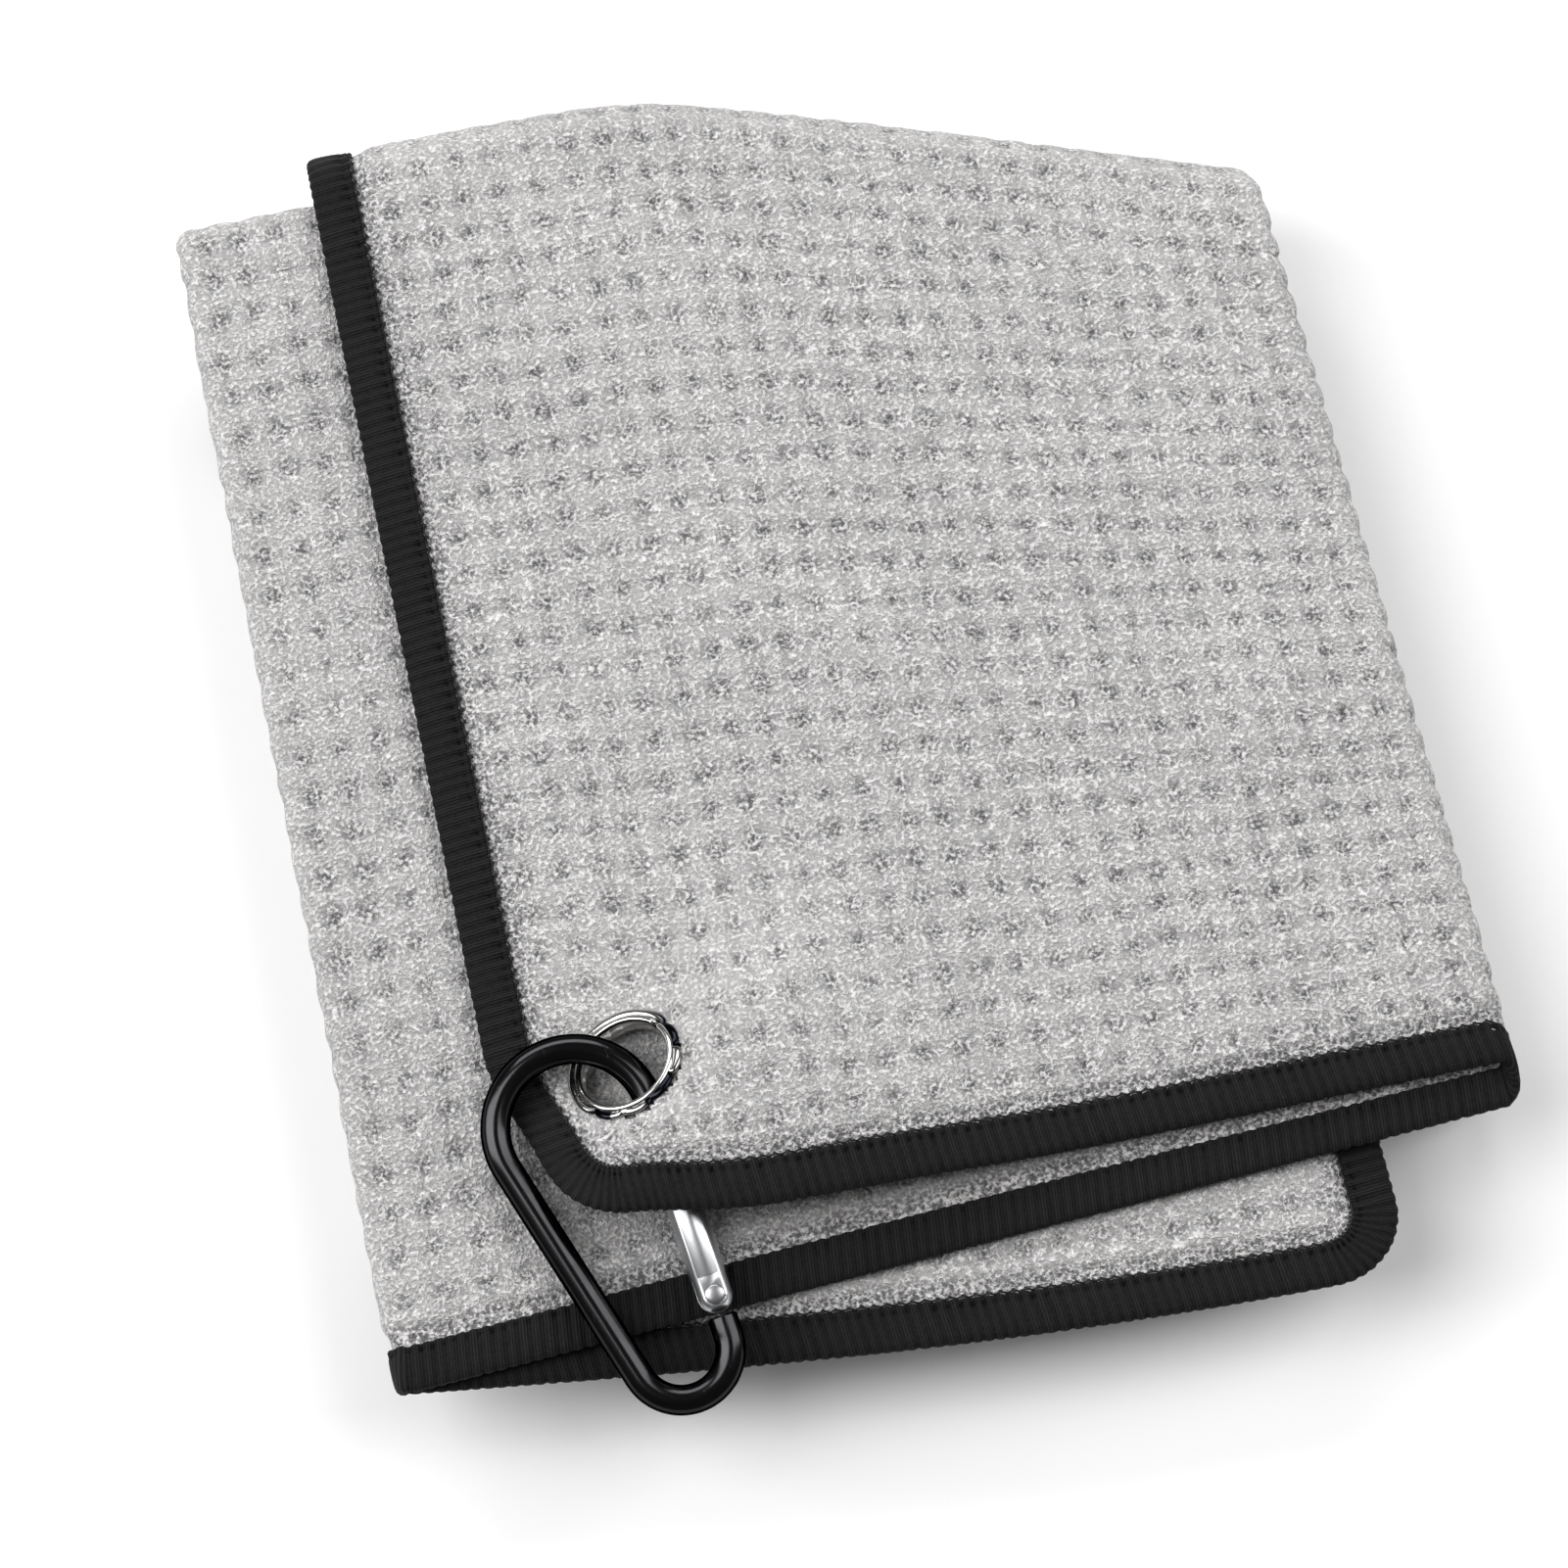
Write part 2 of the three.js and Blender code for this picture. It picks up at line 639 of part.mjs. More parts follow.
function flipped(geometry) {
  const turned = geometry.clone();
  const index = Array.from(turned.index.array);
  for (let i = 0; i < index.length; i += 3) [index[i + 1], index[i + 2]] = [index[i + 2], index[i + 1]];
  turned.setIndex(index);
  return turned;
}

/** A flat plate in the gate's frame, from an outline in that frame. */
function plate(shape, thickness) {
  return new THREE.ExtrudeGeometry(shape, { depth: thickness, bevelEnabled: false, curveSegments: 10 })
    .translate(0, 0, -thickness / 2);
}

/** The bent wire with a flat nose at one end and a flat eye for the rivet at the other. */
function frameGeometry() {
  const nose = new THREE.Shape();
  const notch = latchPinDiameter / 2 + clearance;
  const top = gateSpan + tabOverlap;
  const low = gateSpan - noseReach;
  nose.moveTo(-noseHalf, top);
  nose.lineTo(-noseHalf, latchHeight + notch);
  nose.absarc(latchX, latchHeight, notch, Math.PI / 2, -Math.PI / 2, true);
  nose.lineTo(-noseHalf, latchHeight - notch);
  nose.lineTo(-noseHalf, low);
  nose.lineTo(noseHalf - noseTaper, low);
  nose.lineTo(noseHalf, low + noseTaperLength);
  nose.lineTo(noseHalf, top);
  const eye = new THREE.Shape();
  const foot = -(gateRadius + clearance + tabOverlap);
  eye.moveTo(-tongueRadius, foot);
  eye.lineTo(tongueRadius, foot);
  for (let k = 0; k <= 18; k += 1) {
    const a = (Math.PI * k) / 18;
    const lobe = Math.max(0, 1 - Math.abs(a - camAngle) / (camAngle - Math.PI / 2));
    const radius = tongueRadius + camRise * smooth(lobe);
    eye.lineTo(radius * Math.cos(a), radius * Math.sin(a));
  }
  const rivetHole = new THREE.Path();
  rivetHole.absarc(0, 0, rivetDiameter / 2 + clearance, 0, 2 * Math.PI, true);
  eye.holes.push(rivetHole);
  const ends = solid(plate(nose, tongueThickness).applyMatrix4(gateFrame))
    .add(solid(plate(eye, tongueThickness).applyMatrix4(gateFrame)));
  return fromSolid(wireSolid(wireLine(), wire).add(ends));
}

/** The gate: a bored rod slotted at both ends, rounded about the hinge. */
function gateGeometry() {
  const along = (geometry) => geometry.rotateX(-Math.PI / 2); // from along Z to along Y
  const body = solid(along(rod(gateRadius, 0, gateTip, 20)));
  const foot = solid(new THREE.SphereGeometry(gateRadius, 20, 12).rotateX(-Math.PI / 2));
  const across = gateRadius + 1;
  const lowSlot = solid(boxBetween([-across, -across, -slot], [across, slotTop, slot]));
  const slotFoot = gateTip - noseReach - clearance;
  const highSlot = solid(boxBetween([-across, slotFoot, -slot], [across, gateTip + 1, slot]));
  const bore = solid(along(rod(boreDiameter / 2, slotTop - clearance, boreTop, 14)));
  const rivetBore = solid(rod(rivetDiameter / 2 + clearance, -across, across, 16));
  const pinBore = solid(rod(latchPinDiameter / 2 + clearance, -across, across, 14)
    .translate(latchX, latchHeight, 0));
  const flat = gateRadius - hingeFlat;
  const flats = [
    boxBetween([-across, -across, flat], [across, slotTop, across]),
    boxBetween([-across, -across, -across], [across, slotTop, -flat]),
  ];
  const cuts = [lowSlot, highSlot, bore, rivetBore, pinBore, ...flats.map(solid)];
  return fromSolid(cuts.reduce((rest, cut) => rest.subtract(cut), body.add(foot))).applyMatrix4(gateFrame);
}

/** A pin along the carabiner's Z with a low domed head on both ends. */
function rivetGeometry() {
  const shank = rivetDiameter / 2;
  const head = rivetHeadDiameter / 2;
  const profile = [
    [0, -rivetTip], [head * 0.6, -rivetTip + 0.06], [head, -rivetSeat], [shank, -rivetSeat],
    [shank, rivetSeat], [head, rivetSeat], [head * 0.6, rivetTip - 0.06], [0, rivetTip],
  ].map(([r, h]) => new THREE.Vector2(r, h));
  return new THREE.LatheGeometry(profile, 16).rotateX(Math.PI / 2).applyMatrix4(gateFrame);
}

function latchPinGeometry() {
  const far = Math.abs(latchX) + latchPinDiameter / 2;
  const reach = Math.sqrt(gateRadius ** 2 - far ** 2);
  return rod(latchPinDiameter / 2, -reach, reach, 12).translate(latchX, latchHeight, 0)
    .applyMatrix4(gateFrame);
}

function pusherGeometry() {
  const pin = pusherDiameter / 2;
  const profile = [
    [0, pusherFoot], [pin * 0.6, pusherFoot + 0.1], [pin, pusherFoot + 0.5],
    [pin, pusherFoot + pusherLength], [0, pusherFoot + pusherLength],
  ].map(([r, h]) => new THREE.Vector2(r, h));
  return new THREE.LatheGeometry(profile, 12).applyMatrix4(gateFrame);
}

/** The coil spring above the pusher, as one wire wound in a helix. */
function springGeometry() {
  const coil = boreDiameter / 2 - clearance - springWire / 2;
  const count = springTurns * 9;
  const rise = springLength - springWire;
  const rings = [];
  for (let i = 0; i <= count; i += 1) {
    const a = (2 * Math.PI * i) / 9;
    const y = springFoot + springWire / 2 + (rise * i) / count;
    const out = new THREE.Vector3(Math.cos(a), 0, Math.sin(a));
    const centre = out.clone().multiplyScalar(coil).setY(y);
    rings.push([0, 1, 2, 3, 4].map((k) => {
      const b = (2 * Math.PI * k) / 5;
      return centre.clone()
        .addScaledVector(out, (springWire / 2) * Math.cos(b))
        .add(new THREE.Vector3(0, (springWire / 2) * Math.sin(b), 0));
    }));
  }
  const geometry = skin(rings, false);
  const faces = Array.from(geometry.index.array);
  const end = count * 5;
  for (let k = 1; k < 4; k += 1) {
    faces.push(0, k, k + 1);
    faces.push(end, end + k + 1, end + k);
  }
  geometry.setIndex(faces);
  const wound = solid(geometry).volume() < 0 ? flipped(geometry) : geometry;
  return wound.applyMatrix4(gateFrame);
}

// ---------------------------------------------------------------- the assembly

const finishes = {
  cloth: { color: 0xbab8b8, roughness: 0.95, metalness: 0 },
  binding: { color: 0x1f1f20, roughness: 0.8, metalness: 0 },
  chrome: { color: 0xd9d9d9, roughness: 0.15, metalness: 1 },
  black: { color: 0x101012, roughness: 0.25, metalness: 0.6 },
  aluminium: { color: 0xb9bbbd, roughness: 0.3, metalness: 1 },
  steel: { color: 0xa5a7a9, roughness: 0.35, metalness: 1 },
};

const towel = new THREE.Group();

function addPiece(parent, name, geometry, finish) {
  const mesh = new THREE.Mesh(geometry, new THREE.MeshStandardMaterial(finishes[finish]));
  mesh.name = name;
  parent.add(mesh);
  return mesh;
}

const eyelet = new THREE.Group();
eyelet.applyMatrix4(eyeletFrame);
towel.add(eyelet);

const carabiner = new THREE.Group();
const tilt = THREE.MathUtils.degToRad(carabinerTilt);
const turn = THREE.MathUtils.degToRad(carabinerTurn);
const hingeBack = hinge.x * Math.sin(turn) + hinge.y * Math.cos(turn);
const hingeZ = panelZ + bindingThickness / 2 + clearance + rivetTip;
carabiner.position.set(carabinerX, carabinerY, hingeZ - hingeBack * Math.sin(tilt));
carabiner.rotation.set(tilt, 0, turn, 'XYZ');
towel.add(carabiner);

const pocket = solid(fromSolid(eyeletPocket()).applyMatrix4(eyeletFrame));
addPiece(towel, 'towel_cloth', fromSolid(clothSolid().subtract(pocket)), 'cloth');
addPiece(towel, 'edge_binding', bindingGeometry(), 'binding');
addPiece(towel, 'binding_seam_thread', threadGeometry(), 'binding');
addPiece(eyelet, 'eyelet', eyeletGeometry(), 'chrome');
addPiece(eyelet, 'eyelet_washer', washerGeometry(), 'chrome');
addPiece(carabiner, 'carabiner_frame', frameGeometry(), 'black');
addPiece(carabiner, 'carabiner_gate', gateGeometry(), 'aluminium');
addPiece(carabiner, 'hinge_rivet', rivetGeometry(), 'steel');
addPiece(carabiner, 'latch_pin', latchPinGeometry(), 'steel');
addPiece(carabiner, 'spring_pusher', pusherGeometry(), 'steel');
addPiece(carabiner, 'gate_spring', springGeometry(), 'steel');

export default towel;
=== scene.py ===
"""Looks of a folded golf towel with a snap carabiner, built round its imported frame. Metres, +Z up."""
import json
import logging
import math
from collections.abc import Callable, Sequence
from dataclasses import dataclass, field
from enum import Enum, IntEnum

import bpy
import numpy as np
from mathutils import Matrix, Vector


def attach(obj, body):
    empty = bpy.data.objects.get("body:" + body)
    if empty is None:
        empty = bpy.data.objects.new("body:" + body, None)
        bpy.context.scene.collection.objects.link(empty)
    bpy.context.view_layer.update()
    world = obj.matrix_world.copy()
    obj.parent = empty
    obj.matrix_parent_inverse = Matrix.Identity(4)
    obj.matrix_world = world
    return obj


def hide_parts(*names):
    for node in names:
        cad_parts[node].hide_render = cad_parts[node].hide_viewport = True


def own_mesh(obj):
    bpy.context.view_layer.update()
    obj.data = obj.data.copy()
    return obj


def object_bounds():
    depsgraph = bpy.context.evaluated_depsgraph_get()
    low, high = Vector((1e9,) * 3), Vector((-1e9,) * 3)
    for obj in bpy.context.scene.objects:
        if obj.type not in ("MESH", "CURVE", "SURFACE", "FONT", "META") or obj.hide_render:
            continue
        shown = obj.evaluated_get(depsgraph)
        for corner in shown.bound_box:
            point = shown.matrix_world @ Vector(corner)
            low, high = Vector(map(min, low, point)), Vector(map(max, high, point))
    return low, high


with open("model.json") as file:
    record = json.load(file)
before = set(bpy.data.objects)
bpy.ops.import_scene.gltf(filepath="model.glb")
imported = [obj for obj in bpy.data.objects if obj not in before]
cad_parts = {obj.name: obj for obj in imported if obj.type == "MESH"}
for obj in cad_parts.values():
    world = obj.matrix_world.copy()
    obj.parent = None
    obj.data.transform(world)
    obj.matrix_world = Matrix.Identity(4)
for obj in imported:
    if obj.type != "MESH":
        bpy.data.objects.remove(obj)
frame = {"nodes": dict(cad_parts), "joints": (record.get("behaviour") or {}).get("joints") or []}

MM = 0.001
CAD_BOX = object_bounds()
LOG = logging.getLogger("golf_towel")

Array = np.ndarray
Place = tuple[float, float]
Colour = tuple[float, float, float]
Solid = tuple[Array, list[Array]]  # points and faces


# ------------------------------------------------------------------ numbers


def smooth(t: Array) -> Array:
    """An S-curve from 0 to 1 over t from 0 to 1, flat outside."""
    c = np.clip(t, 0.0, 1.0)
    return c * c * (3 - 2 * c)


def soft_plus(x: Array, knee: float) -> Array:
    """x where it is well above zero, 0 where it is well below, and a knee between."""
    return (x + np.hypot(x, knee)) / 2


def lattice(i: Array, j: Array, seed: int) -> Array:
    """A fixed number from 0 to 1 for each whole-numbered place.

    Args:
        i: whole numbers along one axis.
        j: whole numbers along the other.
        seed: which of the endless sets of numbers.

    Returns:
        One number for each place, the same on every run.
    """
    h = (i.astype(np.int64) * 374761393 + j.astype(np.int64) * 668265263 + seed * 974711) & 0xFFFFFFFF
    h = ((h ^ (h >> 13)) * 1274126177) & 0xFFFFFFFF
    return ((h ^ (h >> 16)) & 0xFFFF) / 65535.0


def ripple(x: Array, y: Array, seed: int) -> Array:
    """Smooth noise from 0 to 1 over a plane whose unit is the size of one ripple.

    Args:
        x: places along one axis, in ripples.
        y: places along the other.
        seed: which noise.

    Returns:
        The noise at each place.
    """
    x, y = np.broadcast_arrays(x, y)
    i, j = np.floor(x), np.floor(y)
    fx, fy = smooth(x - i), smooth(y - j)
    low = lattice(i, j, seed) * (1 - fx) + lattice(i + 1, j, seed) * fx
    high = lattice(i, j + 1, seed) * (1 - fx) + lattice(i + 1, j + 1, seed) * fx
    return low * (1 - fy) + high * fy


# ------------------------------------------------------------------ meshes


def mesh_object(
    name: str,
    points: Array,
    faces: Sequence[Array],
    sharp: float = 180.0,
    marks: dict[str, Array] | None = None,
) -> bpy.types.Object:
    """A smooth-shaded object from arrays, turned inside out if its faces look inwards.

    Args:
        name: the piece's name.
        points: its corners, one row each.
        faces: arrays of corner numbers, each with as many columns as its faces have corners.
        sharp: edges that bend more than this many degrees stay sharp.
        marks: numbers to store on the corners for the materials, by name.

    Returns:
        The object, linked to the scene.
    """
    volume = 0.0
    for group in faces:
        for k in range(1, group.shape[1] - 1):
            a, b, c = points[group[:, 0]], points[group[:, k]], points[group[:, k + 1]]
            volume += float(np.einsum("ij,ij->", a, np.cross(b, c)))
    if volume < 0:
        faces = [group[:, ::-1] for group in faces]
    mesh = bpy.data.meshes.new(name)
    loops = np.concatenate([group.ravel() for group in faces]).astype(np.int32)
    sizes = np.concatenate([np.full(len(group), group.shape[1]) for group in faces])
    mesh.vertices.add(len(points))
    mesh.vertices.foreach_set("co", np.ascontiguousarray(points, np.float32).ravel())
    mesh.loops.add(len(loops))
    mesh.loops.foreach_set("vertex_index", loops)
    mesh.polygons.add(len(sizes))
    starts = np.concatenate([[0], np.cumsum(sizes)[:-1]]).astype(np.int32)
    mesh.polygons.foreach_set("loop_start", starts)
    mesh.update(calc_edges=True)
    mesh.validate()
    mesh.polygons.foreach_set("use_smooth", np.ones(len(mesh.polygons), bool))
    if sharp < 180:
        mesh.set_sharp_from_angle(angle=math.radians(sharp))
    for mark, values in (marks or {}).items():
        layer = mesh.attributes.new(mark, "FLOAT", "POINT")
        layer.data.foreach_set("value", np.ascontiguousarray(values, np.float32).ravel())
    made = bpy.data.objects.new(name, mesh)
    bpy.context.scene.collection.objects.link(made)
    return made


def ring_faces(rings: int, count: int, closed: bool) -> Array:
    """Quads between rings of points, each ring closed on itself.

    Args:
        rings: how many rings.
        count: points in each ring.
        closed: whether the last ring joins the first.

    Returns:
        The corner numbers, four to a face.
    """
    i = np.arange(rings if closed else rings - 1)[:, None]
    j = np.arange(count)[None, :]
    here, there = i * count, ((i + 1) % rings) * count
    k = (j + 1) % count
    return np.stack(np.broadcast_arrays(here + j, there + j, there + k, here + k), -1).reshape(-1, 4)


def tube(path: Array, side: Array, radius: Array | float, sides: int, closed: bool) -> Solid:
    """A round tube along a path.

    Args:
        path: its centre line.
        side: a direction across the path at each point, which keeps the tube from twisting.
        radius: its radius, one number or one for each point.
        sides: points round it.
        closed: whether the end joins the start. An open tube is capped.

    Returns:
        Its points and faces.
    """
    if closed:
        along = np.roll(path, -1, 0) - np.roll(path, 1, 0)
    else:
        along = np.gradient(path, axis=0)
    along /= np.linalg.norm(along, axis=1, keepdims=True)
    out = side - along * np.einsum("ij,ij->i", side, along)[:, None]
    out /= np.linalg.norm(out, axis=1, keepdims=True)
    up = np.cross(along, out)
    turn = np.linspace(0, 2 * math.pi, sides, endpoint=False)
    size = np.broadcast_to(np.asarray(radius, float), len(path))[:, None, None]
    points = path[:, None] + size * (
        np.cos(turn)[None, :, None] * out[:, None] + np.sin(turn)[None, :, None] * up[:, None]
    )
    faces = [ring_faces(len(path), sides, closed)]
    if not closed:
        last = (len(path) - 1) * sides
        faces += [np.arange(sides)[None, ::-1], last + np.arange(sides)[None, :]]
    return points.reshape(-1, 3), faces


def around(radius: Array, height: Array, turn: Array) -> Array:
    """Points at radii, heights and angles about Z, one row each."""
    across, aside = radius * np.cos(turn), radius * np.sin(turn)
    return np.stack(np.broadcast_arrays(across, aside, height), -1).reshape(-1, 3)


def lathe(profile: Sequence[Place], sides: int) -> Solid:
    """A solid turned about Z from a profile of (radius, height) that starts and ends on the axis.

    Args:
        profile: the points from one end of the axis to the other.
        sides: faces round it.

    Returns:
        Its points and faces.
    """
    turn = np.linspace(0, 2 * math.pi, sides, endpoint=False)
    inner = np.array(profile[1:-1])
    points = around(inner[:, :1], inner[:, 1:], turn)
    points = np.vstack([points, [0, 0, profile[0][1]], [0, 0, profile[-1][1]]])
    first, last = len(points) - 2, len(points) - 1
    j = np.arange(sides)
    k = (j + 1) % sides
    foot = (len(inner) - 1) * sides
    start = np.stack([np.full(sides, first), j, k], -1)
    end = np.stack([np.full(sides, last), foot + k, foot + j], -1)
    return points, [ring_faces(len(inner), sides, False), start, end]


def moved(points: Array, matrix: Matrix) -> Array:
    """The points after a matrix has moved them."""
    m = np.array(matrix)
    return points @ m[:3, :3].T + m[:3, 3]


def stood(points: Array) -> Array:
    """Points turned so that what ran along Z runs along Y."""
    return points[:, [0, 2, 1]] * np.array([1, 1, -1])


def joined(parts: Sequence[Solid]) -> Solid:
    """Several sets of points and faces as one.

    Args:
        parts: the points and faces of each.

    Returns:
        All the points, and the faces renumbered to them.
    """
    points, faces, start = [], [], 0
    for own, groups in parts:
        points.append(own)
        faces += [group + start for group in groups]
        start += len(own)
    return np.vstack(points), faces


def settle(piece: bpy.types.Object) -> bpy.types.Object:
    """Applies the piece's modifiers to its mesh.

    Args:
        piece: the piece, with its modifiers still live.

    Returns:
        The same piece.
    """
    graph = bpy.context.evaluated_depsgraph_get()
    done = bpy.data.meshes.new_from_object(piece.evaluated_get(graph))
    piece.modifiers.clear()
    piece.data = done
    return piece


def combine(piece: bpy.types.Object, others: Sequence[bpy.types.Object], operation: str) -> bpy.types.Object:
    """Cuts other solids out of a piece, or adds them to it, and removes them.

    Args:
        piece: what is changed.
        others: the solids to cut away or add.
        operation: DIFFERENCE or UNION.

    Returns:
        The piece, with the change in its mesh.
    """
    for other in others:
        change = piece.modifiers.new("change", "BOOLEAN")
        change.operation = operation
        change.solver = "EXACT"
        change.object = other
    settle(piece)
    for other in others:
        bpy.data.objects.remove(other)
    return piece


def soften_edges(piece: bpy.types.Object, width: float) -> bpy.types.Object:
    """Rounds a machined piece's sharp edges and shades the rest smooth.

    Args:
        piece: the piece.
        width: how wide the rounding is.

    Returns:
        The same piece.
    """
    bevel = piece.modifiers.new("edges", "BEVEL")
    bevel.width = width
    bevel.segments = 2
    bevel.limit_method = "ANGLE"
    bevel.angle_limit = math.radians(40)
    settle(piece)
    piece.data.polygons.foreach_set("use_smooth", np.ones(len(piece.data.polygons), bool))
    piece.data.set_sharp_from_angle(angle=math.radians(50))
    return piece


# ------------------------------------------------------------------ shader effects


Socket = bpy.types.NodeSocket


@dataclass
class Wiring:
    """Places nodes in one tree and joins them."""

    tree: bpy.types.NodeTree

    def node(self, kind: str, settings: dict | None = None, **inputs: object) -> bpy.types.Node:
        """Adds a node.

        Args:
            kind: its type, without the ShaderNode in front.
            settings: its own properties.
            inputs: a value or another node's output for each input, spaces as underscores.

        Returns:
            The node.
        """
        made = self.tree.nodes.new("ShaderNode" + kind)
        for key, value in (settings or {}).items():
            setattr(made, key, value)
        for key, value in inputs.items():
            self.join(value, made.inputs[key.replace("_", " ")])
        return made

    def join(self, value: object, socket: Socket) -> None:
        """Links an output to a socket, or sets the socket to a plain value.

        Args:
            value: another node's output, or a plain value.
            socket: the input.
        """
        if isinstance(value, bpy.types.NodeSocket):
            self.tree.links.new(value, socket)
        else:
            socket.default_value = value

    def math(self, operation: str, a: object, b: object = 0.0, clamp: bool = False) -> Socket:
        """One step of arithmetic.

        Args:
            operation: Blender's name for it.
            a: the first number or output.
            b: the second.
            clamp: whether the answer is kept from 0 to 1.

        Returns:
            The answer's socket.
        """
        made = self.node("Math", {"operation": operation, "use_clamp": clamp})
        self.join(a, made.inputs[0])
        self.join(b, made.inputs[1])
        return made.outputs[0]

    def remap(self, value: object, low: float, high: float, to_low: float, to_high: float) -> Socket:
        """A range of values stretched over another range, and kept in it.

        Args:
            value: what comes in.
            low: the value that becomes to_low.
            high: the value that becomes to_high.
            to_low: one end of what goes out.
            to_high: the other end.

        Returns:
            The stretched value's socket.
        """
        made = self.node("MapRange", From_Min=low, From_Max=high, To_Min=to_low, To_Max=to_high)
        self.join(value, made.inputs["Value"])
        return made.outputs["Result"]

    def blend(self, share: object, a: object, b: object) -> Socket:
        """A colour between two.

        Args:
            share: how much of b, from 0 to 1.
            a: the first colour.
            b: the second.

        Returns:
            The mixed colour's socket.
        """
        made = self.node("Mix", {"data_type": "RGBA"})
        self.join(share, made.inputs[0])
        self.join(a, made.inputs[6])
        self.join(b, made.inputs[7])
        return made.outputs[2]

    def mark(self, name: str) -> Socket:
        """The numbers stored on a mesh under a name."""
        return self.node("Attribute", {"attribute_name": name}).outputs["Fac"]


def effect(
    name: str, inputs: dict[str, float], outputs: Sequence[str], wire: Callable[[Wiring, dict], dict]
) -> bpy.types.NodeTree:
    """A shader node group, made once and then shared.

    Args:
        name: the group's name.
        inputs: its inputs and their usual values.
        outputs: its outputs, all plain numbers.
        wire: puts the nodes in. It gets the wiring and the inputs, and returns the outputs.

    Returns:
        The group.
    """
    if name in bpy.data.node_groups:
        return bpy.data.node_groups[name]
    group = bpy.data.node_groups.new(name, "ShaderNodeTree")
    for key, usual in inputs.items():
        group.interface.new_socket(key, in_out="INPUT", socket_type="NodeSocketFloat").default_value = usual
    for key in outputs:
        group.interface.new_socket(key, in_out="OUTPUT", socket_type="NodeSocketFloat")
    into = group.nodes.new("NodeGroupInput")
    out = group.nodes.new("NodeGroupOutput")
    made = wire(Wiring(group), {key: into.outputs[key] for key in inputs})
    for key, socket in made.items():
        group.links.new(socket, out.inputs[key])
    return group


def fibre_fuzz() -> bpy.types.NodeTree:
    """Curled fibre ends on a cloth or thread: Height for bump, and Shade from 0 in the pits to 1.

    Returns:
        The group.
    """

    def wire(w: Wiring, given: dict[str, Socket]) -> dict[str, Socket]:
        """Bends the place with noise, then lays tufts and rounded loops on it.

        Args:
            w: the group's wiring.
            given: the group's inputs.

        Returns:
            The group's outputs.
        """
        place = w.node("TexCoord").outputs["Object"]
        bend = w.node("TexNoise", Vector=place, Scale=given["Scale"], Detail=1.0).outputs["Color"]
        offset = w.node("VectorMath", {"operation": "SCALE"}, Vector=bend)
        w.join(given["Curl"], offset.inputs["Scale"])
        curled = w.node("VectorMath", {"operation": "ADD"})
        w.join(place, curled.inputs[0])
        w.join(offset.outputs[0], curled.inputs[1])
        tufts = w.node("TexNoise", Vector=curled.outputs[0], Scale=given["Scale"], Detail=2.5, Roughness=0.6)
        loops = w.node("TexVoronoi", {"feature": "SMOOTH_F1"}, Vector=curled.outputs[0], Smoothness=0.6)
        w.join(given["Scale"], loops.inputs["Scale"])
        soft = w.remap(tufts.outputs["Fac"], 0.41, 0.59, 0.0, 1.0)
        domes = w.remap(loops.outputs["Distance"], 0.1, 0.75, 1.0, 0.0)
        height = w.math("ADD", w.math("MULTIPLY", soft, 0.62), w.math("MULTIPLY", domes, 0.38))
        return {"Height": height, "Shade": w.remap(height, 0.12, 0.8, 0.0, 1.0)}

    return effect("fibre fuzz", {"Scale": 1000.0, "Curl": 0.0004}, ["Height", "Shade"], wire)


def handling_marks() -> bpy.types.NodeTree:
    """Smears and fine scratches on handled metal: Smear and Scratch from 0 to 1, and Height.

    Returns:
        The group.
    """

    def wire(w: Wiring, given: dict[str, Socket]) -> dict[str, Socket]:
        """Patches of noise for the smears, and noise drawn out into lines for the scratches.

        Args:
            w: the group's wiring.
            given: the group's inputs.

        Returns:
            The group's outputs.
        """
        place = w.node("TexCoord").outputs["Object"]
        smear = w.node("TexNoise", Vector=place, Scale=given["Smear Scale"], Detail=4.0, Roughness=0.65)
        stretch = w.node("Mapping", Vector=place, Scale=(1.0, 0.07, 1.0), Rotation=(0.3, 0.2, 0.5))
        lines = w.node("TexNoise", Vector=stretch.outputs[0], Scale=given["Scratch Scale"], Detail=3.0)
        scratch = w.remap(lines.outputs["Fac"], 0.63, 0.7, 0.0, 1.0)
        return {
            "Smear": w.remap(smear.outputs["Fac"], 0.35, 0.68, 0.0, 1.0),
            "Scratch": scratch,
            "Height": w.math("MULTIPLY", scratch, -1.0),
        }

    usual = {"Smear Scale": 160.0, "Scratch Scale": 2500.0}
    return effect("handling marks", usual, ["Smear", "Scratch", "Height"], wire)


def new_material(
    name: str, constants: dict[str, object]
) -> tuple[bpy.types.Material, Wiring, bpy.types.Node]:
    """A new material whose shader has some sockets set.

    Args:
        name: its name.
        constants: plain values, by socket name.

    Returns:
        The material, its wiring and its shader.
    """
    made = bpy.data.materials.new(name)
    made.use_nodes = True
    shader = made.node_tree.nodes["Principled BSDF"]
    for key, value in constants.items():
        shader.inputs[key].default_value = value
    return made, Wiring(made.node_tree), shader


class Plating(Enum):
    """What a metal piece is finished with: name, colour, roughness and the tint of its glancing shine."""

    CHROME = ("bright_chrome", (0.80, 0.79, 0.77), 0.10, 1.0)
    BLACK = ("black_anodised_wire", (0.036, 0.036, 0.038), 0.16, 0.02)
    SATIN = ("satin_aluminium", (0.72, 0.73, 0.75), 0.3, 1.0)
    STEEL = ("plain_steel", (0.42, 0.42, 0.43), 0.30, 1.0)


